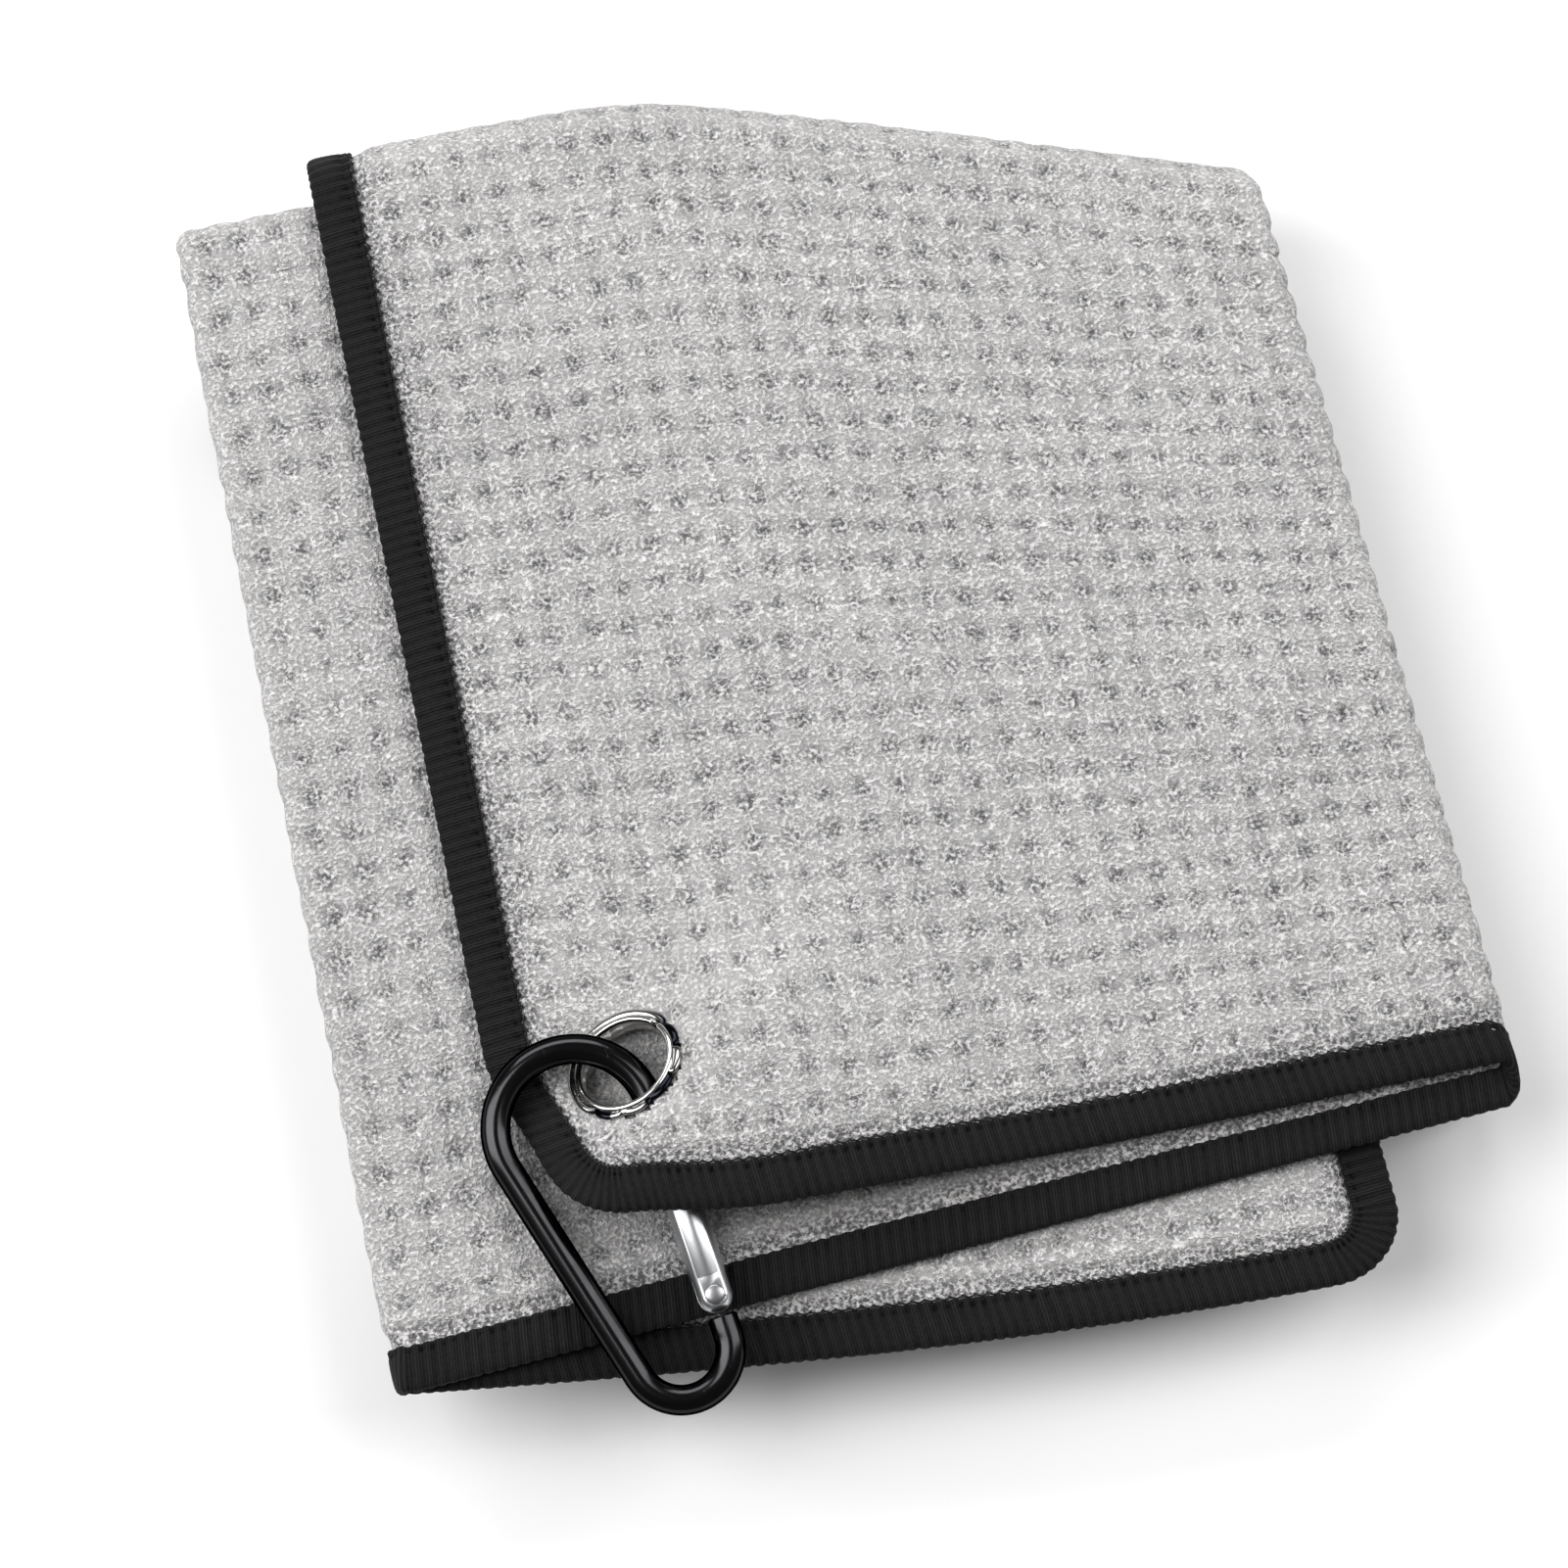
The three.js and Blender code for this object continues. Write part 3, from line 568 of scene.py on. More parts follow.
@dataclass(frozen=True)
class MetalFinish:
    """A handled metal surface."""

    plating: Plating
    smear_scale: float = 160.0
    scratch_scale: float = 2500.0
    scratch_depth: float = 0.01 * MM

    def material(self) -> bpy.types.Material:
        """The finish as a material.

        Returns:
            The material.
        """
        name, colour, roughness, glance = self.plating.value
        made, w, shader = new_material(name, {"Metallic": 1.0, "Specular Tint": (glance, glance, glance, 1)})
        marks = w.node("Group", {"node_tree": handling_marks()})
        marks.inputs["Smear Scale"].default_value = self.smear_scale
        marks.inputs["Scratch Scale"].default_value = self.scratch_scale
        dull = tuple(channel * 0.8 for channel in colour)
        tint = w.blend(marks.outputs["Smear"], (*colour, 1), (*dull, 1))
        if self.plating is Plating.CHROME:
            tint = w.blend(w.mark("shadowed_crimp"), tint, (0.012, 0.013, 0.017, 1))
        w.join(tint, shader.inputs["Base Color"])
        rough = w.math("ADD", roughness, w.math("MULTIPLY", marks.outputs["Smear"], 0.05))
        rough = w.math("ADD", rough, w.math("MULTIPLY", marks.outputs["Scratch"], 0.06), clamp=True)
        w.join(rough, shader.inputs["Roughness"])
        bump = w.node("Bump", Strength=0.35, Distance=self.scratch_depth, Height=marks.outputs["Height"])
        w.join(bump.outputs[0], shader.inputs["Normal"])
        return made


@dataclass(frozen=True)
class WaffleFinish:
    """Grey heathered microfibre, with shade painted into its colour in the waffle's dimples and between the
    tufts.
    """

    # painted shade: the dark colour the cloth takes in its dimples and between its tufts
    pit_shade: Colour = (0.085, 0.084, 0.087)
    tuft: Colour = (0.68, 0.667, 0.665)
    warm: Colour = (0.61, 0.575, 0.565)
    tuft_scale: float = 2050.0
    tuft_height: float = 0.6 * MM

    def material(self) -> bpy.types.Material:
        """The finish as a material.

        Returns:
            The material.
        """
        matt = {"Roughness": 0.95, "Specular IOR Level": 0.15, "Sheen Weight": 0.25, "Sheen Roughness": 0.6}
        made, w, shader = new_material("waffle_microfibre", matt)
        fuzz = w.node("Group", {"node_tree": fibre_fuzz()})
        fuzz.inputs["Scale"].default_value = self.tuft_scale
        place = w.node("TexCoord").outputs["Object"]
        heather = w.node("TexNoise", Vector=place, Scale=520.0, Detail=3.0, Roughness=0.7)
        patch = w.node("TexNoise", Vector=place, Scale=60.0, Detail=2.0)
        # Painted shade: the colour darkens in the waffle's dimples and between the fibre tufts, where shade
        # falls; the patch noise only adds random tone.
        dimple = w.remap(w.mark("puff"), 0.15, 0.85, 1.0, 0.0)
        between = w.math("SUBTRACT", 1.0, fuzz.outputs["Shade"])
        contrast = w.math("ADD", 0.54, w.math("MULTIPLY", dimple, 0.40))
        dark = w.math("ADD", w.math("MULTIPLY", between, contrast), w.math("MULTIPLY", dimple, 0.07))
        dark = w.math("ADD", dark, w.remap(patch.outputs["Fac"], 0.3, 0.7, 0.05, -0.05))
        share = w.math("SUBTRACT", 1.0, dark, clamp=True)
        warmth = w.remap(heather.outputs["Fac"], 0.5, 0.7, 0.0, 0.6)
        light = w.blend(warmth, (*self.tuft, 1), (*self.warm, 1))
        w.join(w.blend(share, (*self.pit_shade, 1), light), shader.inputs["Base Color"])
        height = w.math("ADD", fuzz.outputs["Height"], w.math("MULTIPLY", heather.outputs["Fac"], 0.5))
        bump = w.node("Bump", Strength=0.8, Distance=self.tuft_height, Height=height)
        w.join(bump.outputs[0], shader.inputs["Normal"])
        return made


@dataclass(frozen=True)
class ThreadFinish:
    """Black spun thread, laid side by side across a band or twisted by itself, with shade painted into its
    colour between the threads, in the band's rib dips and notches, and between the fibres.
    """

    name: str
    # painted shade: the colour in the valleys between the threads
    valley_shade: Colour = (0.0014, 0.0014, 0.0016)
    crown: Colour = (0.016, 0.016, 0.0168)
    strands: float = 4.0  # threads in one stitch
    fuzz_scale: float = 2600.0
    thread_height: float = 0.09 * MM

    def material(self) -> bpy.types.Material:
        """The finish as a material.

        Returns:
            The material.
        """
        matt = {"Roughness": 0.75, "Specular IOR Level": 0.12, "Sheen Weight": 0.02, "Sheen Roughness": 0.5}
        made, w, shader = new_material(self.name, matt)
        fuzz = w.node("Group", {"node_tree": fibre_fuzz()})
        fuzz.inputs["Scale"].default_value = self.fuzz_scale
        # Painted shade: the colour darkens between the threads, where the crest mark is low in the band's
        # rib dips and notches, and where the fibre fuzz is low.
        turns = w.math("MULTIPLY", w.mark("stitch"), self.strands * 2 * math.pi)
        lay = w.remap(w.math("SINE", turns), -1.0, 1.0, 0.0, 1.0)
        share = w.math("MULTIPLY", lay, w.remap(w.mark("crest"), 0.0, 1.0, 0.25, 1.0))
        share = w.math("ADD", share, w.math("MULTIPLY", fuzz.outputs["Shade"], 0.25), clamp=True)
        w.join(w.blend(share, (*self.valley_shade, 1), (*self.crown, 1)), shader.inputs["Base Color"])
        height = w.math("ADD", lay, w.math("MULTIPLY", fuzz.outputs["Height"], 0.6))
        bump = w.node("Bump", Strength=0.7, Distance=self.thread_height, Height=height)
        w.join(bump.outputs[0], shader.inputs["Normal"])
        return made


@dataclass(frozen=True)
class FloorFinish:
    """Smooth pale studio paper."""

    colour: Colour = (0.86, 0.86, 0.86)

    def material(self) -> bpy.types.Material:
        """The finish as a material."""
        matt = {"Base Color": (*self.colour, 1), "Roughness": 0.9, "Specular IOR Level": 0.1}
        return new_material("studio_paper", matt)[0]


def dress(piece: bpy.types.Object, material: bpy.types.Material) -> None:
    """Gives a piece one material all over."""
    piece.data.materials.clear()
    piece.data.materials.append(material)


# ------------------------------------------------------------------ how the sheet is folded


class Layer(IntEnum):
    """Parts of the sheet across its width, after the first fold."""

    FRONT = 0
    RIGHT = 1
    MIDDLE = 2
    LEFT = 3
    BACK = 4


@dataclass
class Lie:
    """Where the flat sheet's width runs in the folded stack, at each place across it."""

    x: Array
    depth: Array
    normal_x: Array
    normal_depth: Array
    layer: Array


@dataclass
class Runs:
    """How the length is shared out at each place across: top turn, foot, panels and turns."""

    top: Array
    foot: Array
    panel_a: Array
    top_arc: Array
    panel_b: Array
    low_arc: Array


@dataclass
class FoldedSheet:
    """The cut sheet's map from flat (across, along, out) to where it lies folded."""

    anchor: Vector  # middle of the eyelet
    left_fold: float
    right_fold: float = 79 * MM
    thickness: float = 2.0 * MM
    hem_thickness: float = 0.6 * MM
    layer_pitch: float = 2.6 * MM
    length: float = 395 * MM
    front_left_edge: float = -42 * MM
    back_right_edge: float = 61 * MM
    top_fold: float = 87 * MM
    inner_fold_drop: float = 3.5 * MM
    lower_fold: float = -36.6 * MM
    top_slope: float = 0.325
    top_knee: float = 8 * MM
    lower_share: float = 0.45
    right_lean: float = 0.47
    lean_knee: float = 20 * MM
    lean_reach: float = 25 * MM
    front_end: float = -51 * MM
    front_corner_rise: float = 2.5 * MM
    front_corner_x: float = -10 * MM
    front_corner_width: float = 26 * MM
    middle_end_right: float = -56 * MM
    middle_end_left: float = -62.4 * MM
    back_end_left: float = -62 * MM
    back_end_right: float = -72.4 * MM
    eyelet_rise: float = 6.6 * MM
    eyelet_slope: float = math.tan(math.radians(31))
    ascent_angle: float = math.radians(-49.5)
    lift_crest: float = 8.4 * MM
    lift_knee: float = 2.4 * MM
    crest_knee: float = 2.5 * MM
    crest_fall: float = 0.09
    fall_knee: float = 4 * MM
    lift_fade_x: float = -16.5 * MM
    lift_fade_width: float = 62 * MM
    lift_aside: float = 8 * MM
    lift_aside_width: float = 42 * MM
    pull_depth: float = 4.6 * MM
    pull_top: float = -25 * MM
    pull_length: float = 18 * MM
    pull_right: float = -14 * MM
    pull_width: float = 26 * MM
    calm_radius: float = 16 * MM
    calm_width: float = 26 * MM
    waviness: float = 0.55 * MM
    wave_size: float = 27 * MM
    wave_end: float = 12 * MM  # how far below the top turn the waves stop

    def __post_init__(self) -> None:
        """Works out the sizes that follow from the others."""
        half = self.thickness / 2
        self.panel_z = 7 * self.layer_pitch + half
        self.turn = self.layer_pitch / 2
        self.fold_depth = 1.5 * self.layer_pitch
        self.right_centre = self.right_fold - half - self.turn
        self.left_centre = self.left_fold + half + self.turn
        self.front_width = self.right_centre - self.front_left_edge
        self.arc = math.pi * self.turn
        self.middle_width = self.right_centre - self.left_centre
        self.back_width = self.back_right_edge - self.left_centre
        self.width = self.front_width + self.middle_width + self.back_width + 2 * self.arc
        self.ascent = (math.cos(self.ascent_angle), math.sin(self.ascent_angle))

    def across(self, u: Array) -> Lie:
        """Where places across the flat width lie after the first fold.

        Args:
            u: distances across the flat sheet from the front layer's free edge.

        Returns:
            Their place and direction in the stack, and their layer.
        """
        starts = np.cumsum([0, self.front_width, self.arc, self.middle_width, self.arc])
        layer = np.clip(np.searchsorted(starts, u, side="left") - 1, 0, 4)
        rest = u - starts[layer]
        a = rest / self.turn
        cases = [layer == part for part in Layer]
        x = np.select(
            cases,
            [
                self.front_left_edge + u,
                self.right_centre + self.turn * np.sin(a),
                self.right_centre - rest,
                self.left_centre - self.turn * np.sin(a),
                self.left_centre + rest,
            ],
        )
        pitch = np.full_like(x, self.layer_pitch)
        depth = np.select(
            cases, [pitch, self.turn * (1 + np.cos(a)), 0 * x, self.turn * (np.cos(a) - 1), -pitch]
        )
        one = np.ones_like(x)
        normal_x = np.select(cases, [0 * x, np.sin(a), 0 * x, np.sin(a), 0 * x])
        normal_depth = np.select(cases, [one, np.cos(a), -one, -np.cos(a), one])
        return Lie(x, depth, normal_x, normal_depth, layer)

    def full_drop(self, x: Array) -> Array:
        """How far the top fold has run down by a place across, as a negative height."""
        return -self.top_slope * soft_plus(x, self.top_knee)

    def runs(self, u: Array, lie: Lie) -> Runs:
        """How the length is shared between the panels and turns at places across.

        Args:
            u: distances across the flat sheet.
            lie: where they lie.

        Returns:
            The shares.
        """
        x = lie.x
        cases = [lie.layer == part for part in Layer]
        inner = self.top_fold - self.inner_fold_drop
        from_right = (self.right_centre - x) / self.middle_width
        outer = np.full_like(x, self.top_fold)
        dropping = self.top_fold - self.inner_fold_drop * smooth(from_right * 2)
        top = np.select(cases, [outer, outer, dropping, inner + 0 * x, inner + 0 * x])
        left_end = (self.middle_end_left + self.back_end_left) / 2
        round_right = smooth((u - self.front_width) / self.arc)
        over = (x - self.left_centre) / self.middle_width
        over_back = np.clip((x - self.left_centre) / self.back_width, 0, 1)
        corner = smooth((self.front_corner_x - x) / self.front_corner_width)
        end = np.select(
            cases,
            [
                self.front_end + self.front_corner_rise * corner,
                self.front_end + (self.middle_end_right - self.front_end) * round_right,
                self.middle_end_left + (self.middle_end_right - self.middle_end_left) * over,
                left_end + 0 * x,
                left_end + (self.back_end_right - left_end) * np.sin(over_back * math.pi / 2),
            ],
        )
        span = self.top_fold - self.lower_fold
        full = self.full_drop(x)
        rate = (1 - self.lower_share) / span
        foot = (end - full * (self.lower_share - rate * self.lower_fold)) / (1 + full * rate)
        return Runs(
            top=top,
            foot=foot,
            panel_a=top - foot,
            top_arc=math.pi * (self.fold_depth + lie.depth),
            panel_b=top - self.lower_fold,
            low_arc=math.pi * (self.fold_depth - lie.depth),
        )

    def lift(self, x: Array, y: Array) -> Array:
        """How far the front layer stands off the one below, over the eyelet and the gate.

        Args:
            x: places across, as it lies.
            y: places along.

        Returns:
            The heights.
        """
        dx, dy = x - self.anchor.x, y - self.anchor.y
        along = dx * self.ascent[0] + dy * self.ascent[1]
        aside = dy * self.ascent[0] - dx * self.ascent[1]
        start = -(self.eyelet_rise - self.layer_pitch) / self.eyelet_slope
        past_crest = along - self.lift_crest
        climb = soft_plus(along - start, self.lift_knee) - soft_plus(past_crest, self.crest_knee)
        rise = self.eyelet_slope * climb
        fall = self.crest_fall * soft_plus(past_crest, self.fall_knee)
        fade = 1 - smooth((x - self.lift_fade_x) / self.lift_fade_width)
        fade = fade * (1 - smooth((aside - self.lift_aside) / self.lift_aside_width))
        calm = smooth((np.hypot(dx, dy) - self.calm_radius) / self.calm_width)
        waves = self.waviness * calm * ripple(x / self.wave_size + 9, y / self.wave_size + 9, 3)
        return np.maximum(0, rise - fall) * fade + waves

    def place(self, u: Array, v: Array, w: Array) -> Array:
        """Points of the folded sheet.

        Args:
            u: distances across the flat sheet.
            v: distances along it, from the end that lies lowest.
            w: distances out of its front face.

        Returns:
            The points, one row each along the last axis.
        """
        u, v, w = np.broadcast_arrays(u, v, w)
        lie = self.across(u)
        runs = self.runs(u, lie)
        depth = lie.depth + w * lie.normal_depth
        flat_x = lie.x + w * lie.normal_x
        end_top = runs.panel_a + runs.top_arc
        end_b = end_top + runs.panel_b
        end_low = end_b + runs.low_arc
        on = [v <= runs.panel_a, v < end_top, v <= end_b, v < end_low]
        deep = self.fold_depth
        a = (v - runs.panel_a) / (deep + lie.depth)
        b = (v - end_b) / (deep - lie.depth)
        y = np.select(
            on,
            [
                runs.foot + v,
                runs.top + (deep + depth) * np.sin(a),
                runs.top - (v - end_top),
                self.lower_fold - (deep - depth) * np.sin(b),
            ],
            self.lower_fold + (v - end_low),
        )
        z = np.select(
            on,
            [
                self.panel_z + depth,
                self.panel_z - deep + (deep + depth) * np.cos(a),
                self.panel_z - 2 * deep - depth,
                self.panel_z - 3 * deep + (deep - depth) * np.cos(b),
            ],
            self.panel_z - 4 * deep + depth,
        )
        right = soft_plus(flat_x, self.lean_knee)
        x = flat_x - self.right_lean * (y - self.front_end) * right**2 / (right + self.lean_reach)
        along = (y - self.lower_fold) / (self.top_fold - self.lower_fold)
        y = y + self.full_drop(flat_x) * (self.lower_share + (1 - self.lower_share) * along)
        front = (lie.layer == Layer.FRONT) & (v <= runs.panel_a)
        low, left = (self.pull_top - y) / self.pull_length, (self.pull_right - x) / self.pull_width
        pull = self.pull_depth * smooth(low) * smooth(left)
        x = x + np.where(front, pull, 0)
        z = z + np.where(front, self.lift(x, y) * self.settled(v, runs), 0)
        return np.stack([x, y, z], -1)

    def settled(self, v: Array, runs: Runs) -> Array:
        """1 over the open panel, and 0 at the turn over the top, so that the waves end there."""
        return smooth((runs.panel_a - v) / self.wave_end)


# ------------------------------------------------------------------ the towel


@dataclass
class Outline:
    """Stations round the sheet's rounded outline."""

    centre: Array
    outward: Array
    distance: Array
    radius: float

    def flat(self, inset: Array, distance: Array | None = None) -> tuple[Array, Array]:
        """Flat places at an inset from the edge.

        Args:
            inset: how far in from the edge.
            distance: how far round, or nothing for the stations themselves.

        Returns:
            The places across and along.
        """
        centre, outward = self.centre, self.outward
        if distance is not None:
            centre = np.stack([np.interp(distance, self.distance, centre[:, k]) for k in (0, 1)], -1)
            outward = np.stack([np.interp(distance, self.distance, outward[:, k]) for k in (0, 1)], -1)
        reach = self.radius - inset
        return centre[:, 0] + reach * outward[:, 0], centre[:, 1] + reach * outward[:, 1]


@dataclass
class Towel:
    """The folded waffle cloth with its overlocked binding and seam."""

    sheet: FoldedSheet
    edge_inset: float = 1.4 * MM
    corner_radius: float = 9.5 * MM
    binding_width: float = 5.5 * MM
    binding_half: float = 1.0 * MM
    binding_gap: float = 0.33 * MM
    hem_end: float = 6.3 * MM
    hem_rise: float = 2.3 * MM
    cell_across: float = 4.65 * MM
    cell_along: float = 5.05 * MM
    dimple_spread: float = 0.62
    puff_height: float = 0.75 * MM
    puff_crown: float = 0.22 * MM  # how far the crowns stand past the cloth's own thickness
    drift: float = 1.1 * MM
    fine: float = 0.8 * MM
    fold_step: float = 0.5 * MM
    hidden_step: float = 2.2 * MM
    back_step: float = 1.3 * MM
    top_turn_steps: int = 22
    low_turn_steps: int = 14
    hidden_steps: int = 40
    stitch: float = 1.5 * MM
    stitch_slant: float = 0.35
    rib_depth: float = 0.19
    thread_radius: float = 0.13 * MM
    seam_inset: float = 5.60 * MM
    seam_swing: float = 0.26 * MM
    hole_radius: float = 6.1 * MM
    pressed_radius: float = 7.5 * MM
    pressed_blend: float = 2.2 * MM
    pieces: list[bpy.types.Object] = field(default_factory=list)

    def hem(self) -> Array:
        """Distances in from an edge of the sheet to the lines over its hem."""
        return np.array([self.edge_inset, 3.5 * MM, 5.6 * MM, self.hem_end])

    def widths(self) -> Array:
        """Stations across the flat sheet, close together where the cloth is seen.

        Returns:
            Their distances across.
        """
        s = self.sheet
        starts = np.cumsum([0, s.front_width, s.arc, s.middle_width, s.arc])
        margin = s.middle_width - 20 * MM  # the middle layer shows left of here
        runs = [
            (self.hem_end, starts[1], self.fine),
            (starts[1], starts[2], self.fold_step),
            (starts[2], starts[2] + margin, self.hidden_step),
            (starts[2] + margin, starts[3], self.fine),
            (starts[3], starts[4], self.fold_step),
            (starts[4], s.width - self.hem_end, self.back_step),
        ]
        parts = [np.linspace(a, b, max(2, round((b - a) / step)) + 1)[1:] for a, b, step in runs]
        return np.concatenate([self.hem(), *parts, (s.width - self.hem()[:3])[::-1]])

    def lengths(self, u: Array) -> tuple[Array, Array]:
        """Lines along the flat sheet at each station across.

        Args:
            u: the stations across.

        Returns:
            The places along for each station, and the same as an even path for the weave.
        """
        s = self.sheet
        runs = s.runs(u, s.across(u))
        ends = [
            (np.full_like(u, self.hem_end), 0),
            (runs.panel_a, round(float(np.max(runs.panel_a)) / self.fine)),
            (runs.panel_a + runs.top_arc, self.top_turn_steps),
            (runs.panel_a + runs.top_arc + runs.panel_b, self.hidden_steps),
            (runs.panel_a + runs.top_arc + runs.panel_b + runs.low_arc, self.low_turn_steps),
            (np.full_like(u, s.length - self.hem_end), self.hidden_steps),
        ]
        rows = [np.full_like(u, h) for h in self.hem()]
        for (before, _), (after, count) in zip(ends, ends[1:]):
            rows += [before + (after - before) * (k + 1) / count for k in range(count)]
        rows += [np.full_like(u, s.length - h) for h in self.hem()[2::-1]]
        v = np.stack(rows, 1)
        even = v * (float(np.mean(runs.panel_a)) / runs.panel_a)[:, None]
        return v, even

    def weave(self, u: Array, path: Array) -> Array:
        """The waffle's puffs, from 0 in the dimples to 1 on their crowns.

        Args:
            u: places across.
            path: places along, as the weave's rows run.

        Returns:
            The puff at each place.
        """
        uu = u + self.drift * (ripple(u / (6 * MM), path / (6 * MM), 11) - 0.5)
        pp = path + self.drift * (ripple(u / (6 * MM) + 40, path / (6 * MM), 12) - 0.5)
        a = math.pi * uu / self.cell_across
        b = math.pi * pp / self.cell_along
        dimple = np.exp(-(np.sin(a) ** 2 + np.sin(b) ** 2) / self.dimple_spread)
        deep = 0.72 + 0.56 * ripple(u / (7 * MM), path / (7 * MM), 14)
        rough = ripple(u / (1.1 * MM), path / (1.1 * MM), 13) - 0.5
        return np.clip(0.93 - deep * dimple + 0.22 * rough, 0, 1)

    def eyelet_frame(self) -> Matrix:
        """The eyelet's own frame: its middle at the origin and its axis along Z.

        Returns:
            The matrix from that frame to the towel's.
        """
        s = self.sheet
        normal = Vector((-s.eyelet_slope * s.ascent[0], -s.eyelet_slope * s.ascent[1], 1)).normalized()
        lean = Vector((0, 0, 1)).rotation_difference(normal)
        return Matrix.Translation(s.anchor) @ lean.to_matrix().to_4x4()

    def build_cloth(self) -> bpy.types.Object:
        """The sheet itself, puffed between its hems, pressed and holed at the eyelet.

        Returns:
            The cloth.
        """
        s = self.sheet
        u1 = self.widths()
        v, path = self.lengths(u1)
        u = np.broadcast_to(u1[:, None], v.shape)
        inset = np.minimum(np.minimum(u, s.width - u), np.minimum(v, s.length - v))
        full = smooth((inset - self.hem_end) / self.hem_rise)
        puff = self.weave(u, path)
        r = self.corner_radius
        cu, cv = np.clip(u, r, s.width - r), np.clip(v, r, s.length - r)
        far = np.hypot(u - cu, v - cv)
        limit = r - self.edge_inset
        pull = np.where(far > limit, limit / np.maximum(far, 1e-9), 1)
        flat_u, flat_v = cu + (u - cu) * pull, cv + (v - cv) * pull
        hem = s.hem_thickness / 2
        crown = s.thickness / 2 + self.puff_crown - self.puff_height * (1 - puff)
        half = hem + (crown - hem) * full
        lie = s.across(u)
        panel = (lie.layer == Layer.FRONT) & (v < s.runs(u, lie).panel_a)
        frame_in, frame_out = self.eyelet_frame().inverted(), self.eyelet_frame()
        sides = []
        for sign in (1, -1):
            points = s.place(flat_u, flat_v, sign * half)
            local = moved(points.reshape(-1, 3), frame_in).reshape(points.shape)
            radius = np.hypot(local[..., 0], local[..., 1])
            near = panel & (radius < self.pressed_radius + self.pressed_blend)
            share = smooth((radius - self.pressed_radius) / self.pressed_blend)
            local[..., 2] = sign * hem + (local[..., 2] - sign * hem) * share
            pressed = moved(local.reshape(-1, 3), frame_out).reshape(points.shape)
            sides.append(np.where(near[..., None], pressed, points))
        return self.skin_cloth(sides, radius < self.hole_radius, panel, puff * full)

    def skin_cloth(
        self, sides: Sequence[Array], in_hole: Array, panel: Array, puff: Array
    ) -> bpy.types.Object:
        """Joins the two faces of the cloth into one closed mesh.

        Args:
            sides: the grid of points of the front and of the back face.
            in_hole: which grid points are inside the eyelet's hole, seen through every layer.
            panel: which grid points belong to the eyelet's layer.
            puff: the weave's height on the grid, stored for the material.

        Returns:
            The cloth.
        """
        rows, count = puff.shape[1], puff.size
        i, j = np.meshgrid(np.arange(puff.shape[0] - 1), np.arange(rows - 1), indexing="ij")
        a = (i * rows + j).ravel()
        top = np.stack([a, a + rows, a + rows + 1, a + 1], 1)
        gone = (in_hole & panel).ravel()
        top = top[gone[top].sum(1) < 2]
        edges = np.concatenate([top[:, [k, (k + 1) % 4]] for k in range(4)])
        keys = set(map(tuple, edges.tolist()))
        rim = np.array([(p, q) for p, q in keys if (q, p) not in keys])
        walls = np.stack([rim[:, 0], rim[:, 0] + count, rim[:, 1] + count, rim[:, 1]], 1)
        points = np.concatenate([side.reshape(-1, 3) for side in sides])
        faces = np.concatenate([top, top[:, ::-1] + count, walls[:, ::-1]])
        used = np.unique(faces)
        renumber = np.zeros(len(points), int)
        renumber[used] = np.arange(len(used))
        marks = {"puff": np.tile(puff.ravel(), 2)[used]}
        made = mesh_object("waffle_cloth_sheet", points[used], [renumber[faces]], marks=marks)
        dress(made, WaffleFinish().material())
        return made

    def outline(self) -> Outline:
        """Stations round the edge, starting on the far, hidden edge and closer where it is seen.

        Returns:
            The stations.
        """
        s, r = self.sheet, self.corner_radius
        far_u, far_v = s.width - r, s.length - r
        seen = 165 * MM
        step, coarse = 0.3 * MM, 1.0 * MM
        centres: list[Array] = []
        outwards: list[Array] = []

        def straight(start: Place, end: Place, out: Place, gap: float) -> None:
            """Adds stations along a straight edge.

            Args:
                start: where the line a corner's radius inside the edge starts.
                end: where it ends.
                out: the way out to the edge.
                gap: from one station to the next.
            """
            n = max(2, round(math.dist(start, end) / gap))
            t = np.linspace(0, 1, n, endpoint=False)[:, None]
            centres.append(np.array(start) * (1 - t) + np.array(end) * t)
            outwards.append(np.broadcast_to(np.array(out, float), (n, 2)))

        def corner(middle: Place, begin: float, gap: float) -> None:
            """Adds stations round a corner.

            Args:
                middle: the corner's centre.
                begin: the angle it starts at, in degrees.
                gap: from one station to the next.
            """
            n = max(4, round(r * math.pi / 2 / gap))
            t = np.radians(begin + np.linspace(0, 90, n, endpoint=False))
            centres.append(np.broadcast_to(np.array(middle, float), (n, 2)))
            outwards.append(np.stack([np.cos(t), np.sin(t)], 1))

        middle = s.width / 2
        straight((middle, far_v), (r, far_v), (0, 1), coarse)
        corner((r, far_v), 90, coarse)
        straight((r, far_v), (r, seen), (-1, 0), coarse)
        straight((r, seen), (r, r), (-1, 0), step)
        corner((r, r), 180, step)
        straight((r, r), (far_u, r), (0, -1), step)
        corner((far_u, r), 270, step)
        straight((far_u, r), (far_u, seen), (1, 0), step)
        straight((far_u, seen), (far_u, far_v), (1, 0), coarse)
        corner((far_u, far_v), 0, coarse)
        straight((far_u, far_v), (middle, far_v), (0, 1), coarse)
        centre, outward = np.concatenate(centres), np.concatenate(outwards)
        edge = centre + r * outward
        gaps = np.hypot(*(np.diff(edge, axis=0).T))
        return Outline(centre, outward, np.concatenate([[0], np.cumsum(gaps)]), r)

